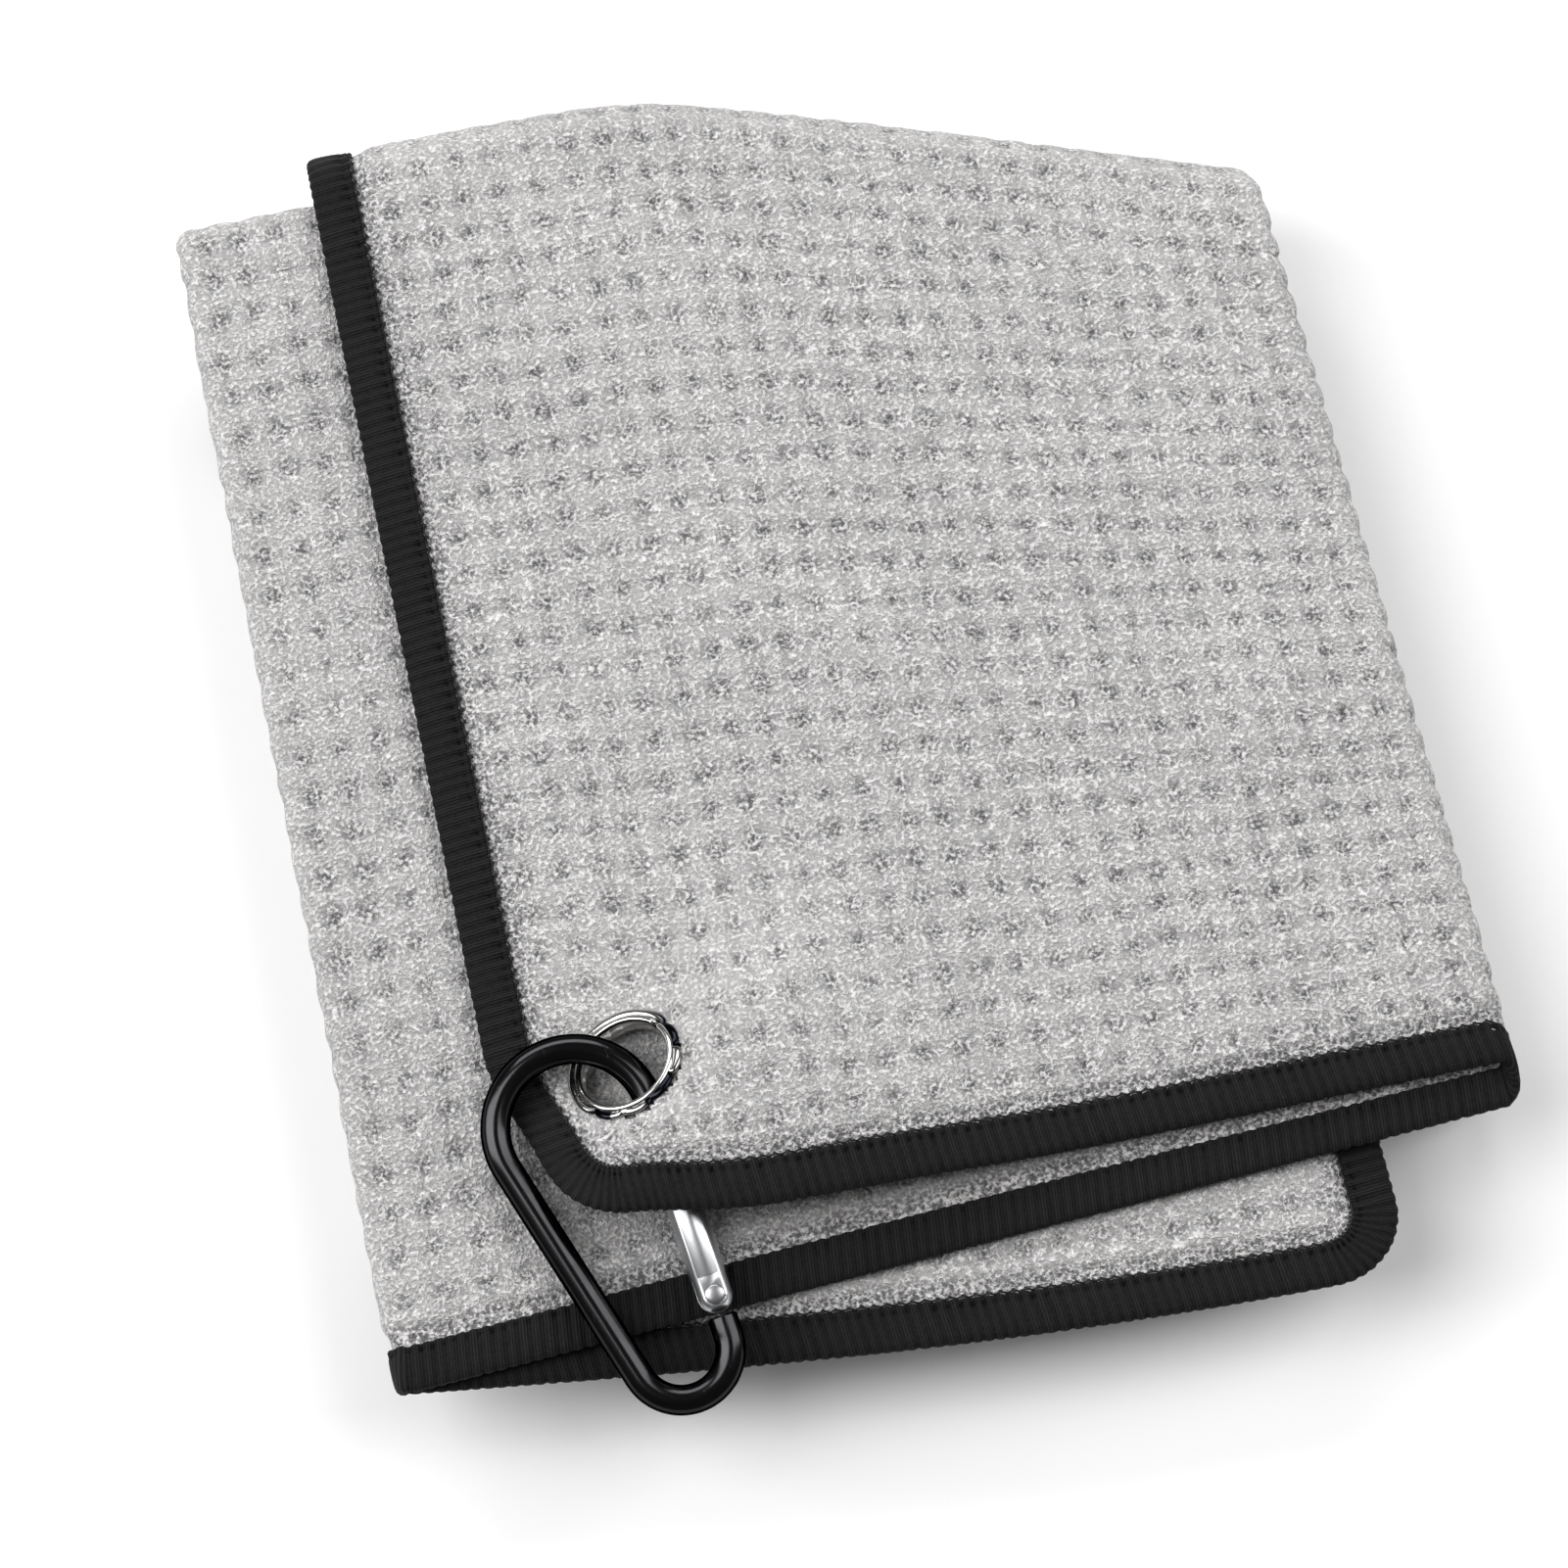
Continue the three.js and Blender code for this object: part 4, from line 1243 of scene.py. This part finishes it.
    def build_binding(self, outline: Outline) -> bpy.types.Object:
        """The overlocked band: ribs of thread across it, notched along both of its edges.

        Args:
            outline: the stations round the sheet.

        Returns:
            The band.
        """
        wide, full, gap = self.binding_width, self.binding_half, self.binding_gap
        face = [  # inset, height off the sheet's middle, share of rib, depth of notch, scallop
            (wide, gap + 0.06 * MM, 0.0, 0.0, -0.16 * MM),
            (wide - 0.04 * MM, 0.74 * MM, 0.4, 0.0, -0.16 * MM),
            (wide - 0.28 * MM, 0.95 * MM, 0.7, 0.05 * MM, -0.08 * MM),
            (wide - 0.62 * MM, 0.93 * MM, 0.8, 0.16 * MM, 0.0),
            (wide - 0.92 * MM, 0.90 * MM, 0.8, 0.58 * MM, 0.0),
            (wide - 1.25 * MM, 0.98 * MM, 1.0, 0.10 * MM, 0.0),
            (3.3 * MM, full + 0.04 * MM, 1.0, 0.0, 0.0),
            (2.1 * MM, full + 0.03 * MM, 1.0, 0.0, 0.0),
            (1.1 * MM, 0.95 * MM, 1.0, 0.0, 0.02 * MM),
            (0.5 * MM, 0.80 * MM, 1.0, 0.16 * MM, 0.06 * MM),
            (0.12 * MM, 0.45 * MM, 0.8, 0.0, 0.13 * MM),
            (0.0, 0.0, 0.0, 0.0, 0.15 * MM),
        ]
        lower = [(i, -h, rib, -n, sc) for i, h, rib, n, sc in face[-2::-1]]
        inner = [(wide - 0.3 * MM, -gap, 0, 0, 0), (1.1 * MM, -gap, 0, 0, 0)]
        inner += [(1.1 * MM, gap, 0, 0, 0), (wide - 0.3 * MM, gap, 0, 0, 0)]
        table = np.array(face + lower + inner)
        inset0, height0, rib, notch, scallop = (table[:, k][None, :] for k in range(5))
        along = outline.distance[:, None]
        drift = 0.5 * ripple(along / (7 * MM), 0 * along, 21)
        phase = along / self.stitch + drift + self.stitch_slant * inset0 / wide
        crest = 0.5 + 0.5 * np.cos(2 * math.pi * phase)
        uneven = 0.75 + 0.5 * ripple(along / (1.4 * MM), inset0 / (2.0 * MM), 22)
        dip = (1 - crest) * uneven
        height = height0 * (1 - self.rib_depth * rib * dip) - notch * dip**3
        inset = inset0 + scallop * dip**2
        points = []
        for k in range(table.shape[0]):
            u, v = outline.flat(inset[:, k])
            points.append(self.sheet.place(u, v, height[:, k]))
        cloud = np.stack(points, 1).reshape(-1, 3)
        # painted shade: the crest mark falls in the rib dips and most in the notches, and the thread's
        # material darkens its colour there
        dark = np.clip(1 - dip - 2.2 * dip**3 * notch / MM, 0, 1)
        marks = {"stitch": phase.ravel(), "crest": dark.ravel()}
        faces = [ring_faces(len(outline.distance), table.shape[0], True)]
        made = mesh_object("overlock_binding", cloud, faces, marks=marks)
        dress(made, ThreadFinish("black_overlock").material())
        return made

    def build_seam(self, outline: Outline) -> bpy.types.Object:
        """The chain of thread loops along the band's inner edge.

        Args:
            outline: the stations round the sheet.

        Returns:
            The thread.
        """
        total = outline.distance[-1] + 1 * MM
        loops = round(total / self.stitch)
        steps, sides = 10, 6
        t = np.arange(loops * steps) / steps
        swing = self.seam_swing * (0.85 + 0.3 * ripple(t / 1.3, 0 * t, 31))
        inset = self.seam_inset + swing * np.sin(2 * math.pi * t)
        along = (t + 0.27 * np.sin(4 * math.pi * t)) * total / loops
        height = self.sheet.hem_thickness / 2 + 0.34 * MM + 0.12 * MM * np.cos(4 * math.pi * t)
        u, v = outline.flat(inset, np.clip(along, 0, outline.distance[-1]))
        path = self.sheet.place(u, v, height)
        normal = self.sheet.place(u, v, height + 0.4 * MM) - path
        points, faces = tube(path, normal, self.thread_radius, sides, True)
        phase = np.repeat(t * 0.5, sides) + np.tile(np.arange(sides) / sides, len(t)) * 0.25
        marks = {"stitch": phase, "crest": np.ones(len(points))}
        made = mesh_object("chain_seam", points, faces, marks=marks)
        dress(made, ThreadFinish("black_seam_thread", crown=(0.03, 0.03, 0.032), strands=2.0).material())
        return made

    def build(self) -> None:
        """Makes the three pieces, and says what they replace and ride on."""
        outline = self.outline()
        cloth = self.build_cloth()
        binding = self.build_binding(outline)
        seam = self.build_seam(outline)
        for piece, node, slot in (
            (cloth, "towel_cloth", "waffle_cloth"),
            (binding, "edge_binding", "black_binding"),
            (seam, "binding_seam_thread", "black_thread"),
        ):
            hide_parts(node)
            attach(piece, "towel")
            self.pieces.append(piece)


# ------------------------------------------------------------------ the eyelet


@dataclass
class Eyelet:
    """The eyelet's front ring with its crimped skirt, and the washer behind the cloth."""

    frame: Matrix
    hole: float = 5.6 * MM
    rim: float = 7.5 * MM
    top: float = 1.2 * MM
    washer_top: float = 0.6 * MM
    washer_low: float = 0.9 * MM
    flange_top: float = 1.2 * MM
    flange_low: float = 1.5 * MM
    petals: int = 11
    sides: int = 208
    washer_sides: int = 96
    low_angle: float = math.radians(-48)  # the side where the skirt is crimped most
    split_angle: float = math.radians(40)
    split_half: float = 0.10  # in radians
    crimp_in: float = 0.55 * MM
    crimp_down: float = 0.22 * MM
    tall_in: float = 0.25 * MM
    tall_down: float = 0.14 * MM
    pieces: list[bpy.types.Object] = field(default_factory=list)

    def build_ring(self) -> bpy.types.Object:
        """Barrel, rolled bead and crimped skirt, split where the bead's ends meet.

        Returns:
            The ring.
        """
        hole, rim, top = self.hole, self.rim, self.top
        profile = [  # radius, height, share of crimp
            (hole + 0.55 * MM, -self.flange_low, 0),
            (hole + 1.0 * MM, -self.flange_low, 0),
            (hole + 1.0 * MM, -self.flange_top, 0),
            (hole + 0.3 * MM, -self.flange_top, 0),
            (hole + 0.3 * MM, 0.45 * MM, 0),
            (rim - 0.3 * MM, 0.5 * MM, 0.8),
            (rim - 0.05 * MM, 0.55 * MM, 1.0),
            (rim, 0.72 * MM, 1.0),
            (rim - 0.12 * MM, 0.92 * MM, 1.0),
            (rim - 0.4 * MM, 1.03 * MM, 0.9),
            (rim - 0.8 * MM, 1.02 * MM, 0.55),
            (hole + 0.95 * MM, 0.88 * MM, 0.2),
            (hole + 0.86 * MM, 0.90 * MM, 0),
            (hole + 0.80 * MM, 1.08 * MM, 0),
            (hole + 0.62 * MM, top - 0.02 * MM, 0),
            (hole + 0.42 * MM, top + 0.03 * MM, 0),
            (hole + 0.22 * MM, top - 0.04 * MM, 0),
            (hole + 0.07 * MM, top - 0.22 * MM, 0),
            (hole, top - 0.5 * MM, 0),
            (hole + 0.02 * MM, -0.3 * MM, 0),
            (hole + 0.12 * MM, -self.flange_top, 0),
        ]
        table = np.array(profile)
        turn = np.linspace(0, 2 * math.pi, self.sides, endpoint=False)[:, None]
        step = turn * self.petals / (2 * math.pi)
        tall = lattice(np.floor(step), 0 * step, 41)
        lobe = np.abs(np.sin(math.pi * step)) ** 0.45
        low_side = smooth((np.cos(turn - self.low_angle) + 0.35) / 0.5)
        crimp = table[None, :, 2] * (0.12 + 0.88 * low_side)
        radius = table[None, :, 0] - crimp * (1 - lobe) * self.crimp_in - crimp * tall * self.tall_in
        height = table[None, :, 1] - crimp * (1 - lobe) * self.crimp_down - crimp * tall * self.tall_down
        away = np.abs((turn - self.split_angle + math.pi) % (2 * math.pi) - math.pi)
        gap = smooth(1 - away / self.split_half)
        bead = ((table[:, 0] < hole + 0.9 * MM) & (table[:, 1] > 0.6 * MM)).astype(float)[None, :]
        height = height - gap * bead * 0.55 * MM
        radius = radius + gap * bead * 0.18 * MM
        points = moved(around(radius, height, turn), self.frame)
        patchy = 0.55 + 0.45 * (lattice(np.floor(step * 1.7), 0 * step, 42) > 0.28)
        skirt = np.where(table[None, :, 0] > hole + 0.84 * MM, 1.0, 0.0)
        marks = {"shadowed_crimp": np.clip(skirt * low_side * patchy + gap * bead, 0, 1).ravel()}
        faces = [ring_faces(self.sides, len(profile), True)]
        return mesh_object("eyelet_ring", points, faces, sharp=60, marks=marks)

    def build_washer(self) -> bpy.types.Object:
        """The ring that the flange closes on, with rounded rims and a pressed groove.

        Returns:
            The washer.
        """
        inner, outer = self.hole + 0.6 * MM, self.rim - 0.3 * MM
        low, top = -self.washer_low, -self.washer_top
        soft = 0.07 * MM
        profile = np.array(
            [
                (inner, low + soft),
                (inner + soft, low),
                (inner + 0.35 * MM, low + 0.04 * MM),
                (inner + 0.6 * MM, low),
                (outer - soft, low),
                (outer, low + soft),
                (outer, top - soft),
                (outer - soft, top),
                (inner + soft, top),
                (inner, top - soft),
            ]
        )
        turn = np.linspace(0, 2 * math.pi, self.washer_sides, endpoint=False)[:, None]
        points = moved(around(profile[None, :, 0], profile[None, :, 1], turn), self.frame)
        faces = [ring_faces(self.washer_sides, len(profile), True)]
        marks = {"shadowed_crimp": np.zeros(len(points))}
        return mesh_object("eyelet_back_washer", points, faces, marks=marks)

    def build(self) -> None:
        """Makes both rings, and says what they replace and ride on."""
        chrome = MetalFinish(Plating.CHROME, smear_scale=420.0).material()
        for piece, node in ((self.build_ring(), "eyelet"), (self.build_washer(), "eyelet_washer")):
            dress(piece, chrome)
            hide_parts(node)
            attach(piece, "towel")
            self.pieces.append(piece)


# ------------------------------------------------------------------ the carabiner


@dataclass
class Carabiner:
    """The snap hook: bent wire, sprung gate and the pins between them."""

    hinge: Vector  # where the gate turns, from the frame's joint
    wire: float = 1.8 * MM
    top_radius: float = 9.3 * MM
    bottom_radius: float = 5.8 * MM
    end_distance: float = 29 * MM
    gate_radius: float = 2.2 * MM
    hinge_height: float = 4.8 * MM
    nose_length: float = 3.6 * MM
    nose_reach: float = 3.7 * MM
    nose_flat: float = 0.35 * MM
    latch_from_tip: float = 1.9 * MM
    hinge_flat: float = 0.5 * MM
    tongue: float = 1.0 * MM
    tongue_radius: float = 1.6 * MM
    cam_rise: float = 0.5 * MM
    cam_angle: float = math.radians(120)
    latch_inset: float = 0.75 * MM
    pin_radius: float = 0.5 * MM
    rivet_radius: float = 0.65 * MM
    head_radius: float = 1.2 * MM
    head_height: float = 0.35 * MM
    bore: float = 1.2 * MM
    pusher_length: float = 3.0 * MM
    pusher_travel: float = 0.56 * MM
    spring_length: float = 8.0 * MM
    spring_wire: float = 0.175 * MM
    spring_turns: int = 7
    clearance: float = 0.3 * MM
    tilt: float = math.radians(5.5)
    turn: float = math.radians(14)
    pieces: list[bpy.types.Object] = field(default_factory=list)

    def __post_init__(self) -> None:
        """Works out the places that follow from the sizes."""
        self.taper = math.asin((self.top_radius - self.bottom_radius) / self.end_distance)
        outward = Vector((math.cos(self.taper), -math.sin(self.taper), 0))
        self.up = Vector((math.sin(self.taper), math.cos(self.taper), 0))
        foot = Vector((0, -self.end_distance, 0)) + outward * self.bottom_radius
        self.own_hinge = foot + self.up * self.hinge_height
        self.nose_root = outward * self.top_radius - self.up * self.nose_length
        self.span = (self.nose_root - self.own_hinge).length
        self.gate_tip = self.span - self.clearance
        self.spring_foot = self.tongue_radius + self.pusher_length + 2 * self.clearance
        self.spring_top = self.spring_foot + self.spring_length
        self.nose_half = self.wire - self.nose_flat
        self.latch = (self.latch_inset - self.nose_half, self.gate_tip - self.latch_from_tip)
        spin = Matrix.Rotation(self.tilt, 4, "X") @ Matrix.Rotation(self.turn, 4, "Z")
        self.body = Matrix.Translation(self.hinge - spin @ self.own_hinge) @ spin
        self.gate = self.body @ Matrix.Translation(self.own_hinge) @ Matrix.Rotation(-self.taper, 4, "Z")

    def wire_path(self) -> Array:
        """The bent wire's centre line, from the nose over the wide end to the hinge.

        Returns:
            Its points.
        """
        bend = math.pi + self.taper
        wide = np.linspace(-self.taper, bend, 90)
        narrow = np.linspace(bend, 2 * math.pi - self.taper, 60)
        shoulder = self.own_hinge - self.up * (self.gate_radius + self.clearance)
        nose = np.array(self.nose_root)[None]
        last = np.array(shoulder)[None]
        wide_end = np.stack([np.cos(wide), np.sin(wide), 0 * wide], 1) * self.top_radius
        narrow_end = np.stack([np.cos(narrow), np.sin(narrow), 0 * narrow], 1) * self.bottom_radius
        narrow_end[:, 1] -= self.end_distance
        spine_from, spine_to = wide_end[-1], narrow_end[0]
        spine = spine_from + (spine_to - spine_from) * np.linspace(0, 1, 26)[1:-1, None]
        return np.concatenate([nose, wide_end, spine, narrow_end, last])

    def plate(self, outline: Sequence[Place], thickness: float) -> Solid:
        """A flat plate in the gate's frame.

        Args:
            outline: its corners, in order.
            thickness: how thick it is.

        Returns:
            Its points and faces.
        """
        flat = np.array(outline)
        n = len(flat)
        low = np.column_stack([flat, np.full(n, -thickness / 2)])
        high = np.column_stack([flat, np.full(n, thickness / 2)])
        j = np.arange(n)
        k = (j + 1) % n
        walls = np.stack([j, k, k + n, j + n], 1)
        caps = [np.arange(n)[None, ::-1], np.arange(n, 2 * n)[None, :]]
        return np.vstack([low, high]), [walls, *caps]

    def build_wire(self) -> bpy.types.Object:
        """The wire with a flat nose for the latch and a flat eye, with its cam, for the rivet.

        Returns:
            The wire.
        """
        path = self.wire_path()
        ends = 0.25 * MM
        start, stop = path[1] - path[0], path[-1] - path[-2]
        lead = [path[0], path[0] + start / np.linalg.norm(start) * ends]
        tail = [path[-1] - stop / np.linalg.norm(stop) * ends, path[-1]]
        full = np.concatenate([lead, path[1:-1], tail])
        radius = np.full(len(full), self.wire)
        radius[[0, -1]] -= ends
        across = np.broadcast_to(np.array([0.0, 0.0, 1.0]), full.shape)
        points, faces = tube(full, across, radius, 44, False)
        body = mesh_object("bent_wire_frame", moved(points, self.body), faces)
        half, back = self.nose_half, 0.6 * MM
        notch = self.pin_radius + self.clearance
        lx, ly = self.latch
        sweep = np.linspace(math.pi / 2, -math.pi / 2, 12)
        arc = [(lx + notch * math.cos(a), ly + notch * math.sin(a)) for a in sweep]
        low = self.span - self.nose_reach
        nose = [(-half, self.span + back), (-half, ly + notch), *arc, (-half, ly - notch), (-half, low)]
        nose += [(half - 0.5 * MM, low), (half, low + 0.8 * MM), (half, self.span + back)]
        foot = -(self.gate_radius + self.clearance + back)
        eye = [(-self.tongue_radius, foot), (self.tongue_radius, foot)]
        for a in np.linspace(0, math.pi, 37):
            lobe = max(0.0, 1 - abs(a - self.cam_angle) / (self.cam_angle - math.pi / 2))
            reach = self.tongue_radius + self.cam_rise * float(smooth(np.array(lobe)))
            eye.append((reach * math.cos(a), reach * math.sin(a)))
        flats = []
        for outline in (nose, eye):
            own, groups = self.plate(outline, self.tongue)
            flats.append((moved(own, self.gate), groups))
        own, groups = joined(flats)
        tabs = mesh_object("tabs", own, groups)
        hole = self.cutter(self.rivet_radius + self.clearance)
        return soften_edges(combine(combine(body, [tabs], "UNION"), [hole], "DIFFERENCE"), 0.07 * MM)

    def cutter(self, radius: float, middle: tuple[float, float] = (0.0, 0.0)) -> bpy.types.Object:
        """A rod across the gate to cut a pin's hole with.

        Args:
            radius: the hole's radius.
            middle: the hole's place in the gate's frame.

        Returns:
            The rod.
        """
        reach = self.gate_radius + 1 * MM
        own, groups = lathe([(0, -reach), (radius, -reach), (radius, reach), (0, reach)], 28)
        own = own + np.array([middle[0], middle[1], 0])
        return mesh_object("pin_cutter", moved(own, self.gate), groups)

    def bore_cutter(self) -> bpy.types.Object:
        """A rod along the gate to cut the spring's bore with.

        Returns:
            The rod.
        """
        top = self.spring_top + self.clearance
        own, groups = lathe([(0, 0), (self.bore, 0), (self.bore, top), (0, top)], 36)
        return mesh_object("bore_cutter", moved(stood(own), self.gate), groups)

    def block(self, low: Sequence[float], high: Sequence[float]) -> bpy.types.Object:
        """A block in the gate's frame to cut a slot or flat with.

        Args:
            low: its lowest corner.
            high: its highest.

        Returns:
            The block.
        """
        outline = [(low[0], low[1]), (high[0], low[1]), (high[0], high[1]), (low[0], high[1])]
        own, groups = self.plate(outline, high[2] - low[2])
        own = own + np.array([0, 0, (low[2] + high[2]) / 2])
        return mesh_object("block_cutter", moved(own, self.gate), groups)

    def build_gate(self) -> bpy.types.Object:
        """The gate: a rod with a rounded foot, slotted at both ends, bored and flatted.

        Returns:
            The gate.
        """
        r, tip = self.gate_radius, self.gate_tip
        dome = [(r * math.sin(a), -r * math.cos(a)) for a in np.linspace(0, math.pi / 2, 18)]
        soft = 0.22 * MM
        rim = [(r, tip - soft), (r - soft * 0.3, tip - soft * 0.3), (r - soft, tip)]
        own, groups = lathe([(0, -r), *dome[1:], *rim, (0, tip)], 72)
        rod = mesh_object("sprung_gate", moved(stood(own), self.gate), groups)
        far, slot = r + 1 * MM, self.tongue / 2 + self.clearance
        slot_top = self.tongue_radius + self.cam_rise + self.clearance
        flat = r - self.hinge_flat
        cutters = [
            self.block((-far, -far, -slot), (far, slot_top, slot)),
            self.block((-far, tip - self.nose_reach - self.clearance, -slot), (far, tip + 1 * MM, slot)),
            self.block((-far, -far, flat), (far, slot_top, far)),
            self.block((-far, -far, -far), (far, slot_top, -flat)),
            self.cutter(self.rivet_radius + self.clearance),
            self.cutter(self.pin_radius + self.clearance, self.latch),
            self.bore_cutter(),
        ]
        return soften_edges(combine(rod, cutters, "DIFFERENCE"), 0.09 * MM)

    def build_rivet(self) -> bpy.types.Object:
        """The hinge pin, with a domed head on both sides.

        Returns:
            The pin.
        """
        seat = self.gate_radius - self.hinge_flat + self.clearance
        tip = seat + self.head_height
        head, shank = self.head_radius, self.rivet_radius
        brim = seat + 0.05 * MM
        quarter = np.linspace(0, math.pi / 2, 10)
        dome = [(head * math.sin(a), brim + (tip - brim) * math.cos(a)) for a in quarter]
        upper = [*dome, (head, seat), (shank, seat)]
        lower = [(radius, -height) for radius, height in reversed(upper)]
        own, groups = lathe([*upper, *lower], 48)
        return mesh_object("domed_rivet", moved(own, self.gate), groups, sharp=50)

    def build_spring(self) -> bpy.types.Object:
        """The coil spring in the gate's bore, its end turns wound closer than the rest.

        Returns:
            The spring.
        """
        turn = np.linspace(0, 2 * math.pi * self.spring_turns, 26 * self.spring_turns + 1)
        share = turn / turn[-1]
        share = 0.5 - 0.5 * np.cos(math.pi * share) * (1 - 0.35 * np.sin(math.pi * share) ** 2)
        coil = self.bore - self.clearance - self.spring_wire
        rise = self.spring_length - 2 * self.spring_wire
        out = np.stack([np.cos(turn), 0 * turn, np.sin(turn)], 1)
        path = out * coil + np.outer(self.spring_foot + self.spring_wire + rise * share, (0, 1, 0))
        own, groups = tube(path, out, self.spring_wire, 10, False)
        return mesh_object("wound_spring", moved(own, self.gate), groups, sharp=50)

    def build(self, nodes: dict[str, bpy.types.Object]) -> None:
        """Makes the seen pieces, and gives the small inner ones a finish.

        Args:
            nodes: the frame's own objects, by node name.
        """
        black = MetalFinish(Plating.BLACK, smear_scale=220.0).material()
        satin = MetalFinish(Plating.SATIN, smear_scale=300.0, scratch_scale=3400.0).material()
        steel = MetalFinish(Plating.STEEL, smear_scale=500.0).material()
        spring = self.build_spring()
        for piece, node, body, slot, finish in (
            (self.build_wire(), "carabiner_frame", "carabiner", "black_anodised", black),
            (self.build_gate(), "carabiner_gate", "gate", "brushed_aluminium", satin),
            (self.build_rivet(), "hinge_rivet", "carabiner", "steel_pins", steel),
            (spring, "gate_spring", "gate", "steel_pins", steel),
        ):
            dress(piece, finish)
            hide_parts(node)
            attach(piece, body)
            self.pieces.append(piece)
        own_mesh(spring)
        for node in ("latch_pin", "spring_pusher"):
            dress(nodes[node], steel)
            self.pieces.append(nodes[node])


# ------------------------------------------------------------------ the studio


@dataclass
class Studio:
    """Pale floor, soft lights and the camera."""

    target: Vector
    azimuth: float = math.radians(-12)
    elevation: float = math.radians(75)
    distance: float = 0.55
    focal_share: float = 2.905  # focal length over the frame's width
    sensor: float = 36.0
    floor_size: float = 8.0
    air: float = 0.12  # strength of the light from all round

    def add_light(self, name: str, place: Sequence[float], size: Place, power: float) -> None:
        """A soft box that looks at the towel.

        Args:
            name: the light's name.
            place: where it hangs.
            size: its width and height.
            power: its watts.
        """
        lamp = bpy.data.lights.new(name, "AREA")
        lamp.shape = "RECTANGLE"
        lamp.size, lamp.size_y = size
        lamp.energy = power
        made = bpy.data.objects.new(name, lamp)
        made.location = place
        made.rotation_euler = (self.target - Vector(place)).to_track_quat("-Z", "Y").to_euler()
        bpy.context.scene.collection.objects.link(made)

    def build(self) -> None:
        """Makes the floor, the lights, the sky and the camera."""
        s = self.floor_size
        corners = np.array([(-s, -s, 0), (s, -s, 0), (s, s, 0), (-s, s, 0)], float)
        floor = mesh_object("studio_floor", corners, [np.arange(4)[None, :]])
        dress(floor, FloorFinish().material())
        self.add_light("left_box", (-0.80, 0.15, 0.90), (0.7, 1.3), 16.0)
        self.add_light("right_box", (0.85, 0.10, 0.85), (0.6, 1.3), 10.0)
        self.add_light("back_box", (-0.05, 1.15, 0.90), (1.3, 0.6), 11.0)
        world = bpy.data.worlds.new("studio_air")
        world.use_nodes = True
        sky = world.node_tree.nodes["Background"]
        sky.inputs["Color"].default_value = (1, 1, 1, 1)
        sky.inputs["Strength"].default_value = self.air
        scene = bpy.context.scene
        scene.world = world
        scene.view_settings.view_transform = "Standard"
        level = math.cos(self.elevation)
        back = Vector(
            (math.sin(self.azimuth) * level, -math.cos(self.azimuth) * level, math.sin(self.elevation))
        )
        lens = bpy.data.cameras.new("camera")
        lens.sensor_width = self.sensor
        lens.lens = self.sensor * self.focal_share
        lens.clip_start = 0.01
        camera = bpy.data.objects.new("camera", lens)
        camera.location = self.target + back * self.distance
        camera.rotation_euler = back.to_track_quat("Z", "Y").to_euler()
        scene.collection.objects.link(camera)
        scene.camera = camera


# ------------------------------------------------------------------ all of it


def main() -> None:
    """Builds every sub-assembly in order and reports its pieces."""
    logging.basicConfig(level=logging.INFO, format="%(name)s: %(message)s")
    joints = {joint["name"]: joint for joint in frame["joints"]}
    sheet = FoldedSheet(anchor=Vector(joints["carabiner_swivel"]["pos_m"]), left_fold=CAD_BOX[0][0])
    towel = Towel(sheet)
    towel.build()
    eyelet = Eyelet(towel.eyelet_frame())
    eyelet.build()
    carabiner = Carabiner(Vector(joints["gate_hinge"]["pos_m"]))
    carabiner.build(frame["nodes"])
    Studio(target=Vector((0, 0, 23 * MM))).build()
    for assembly in (towel, eyelet, carabiner):
        for piece in assembly.pieces:
            LOG.info("%s: %d faces", piece.name, len(piece.data.polygons))


if __name__ == "__main__":
    main()
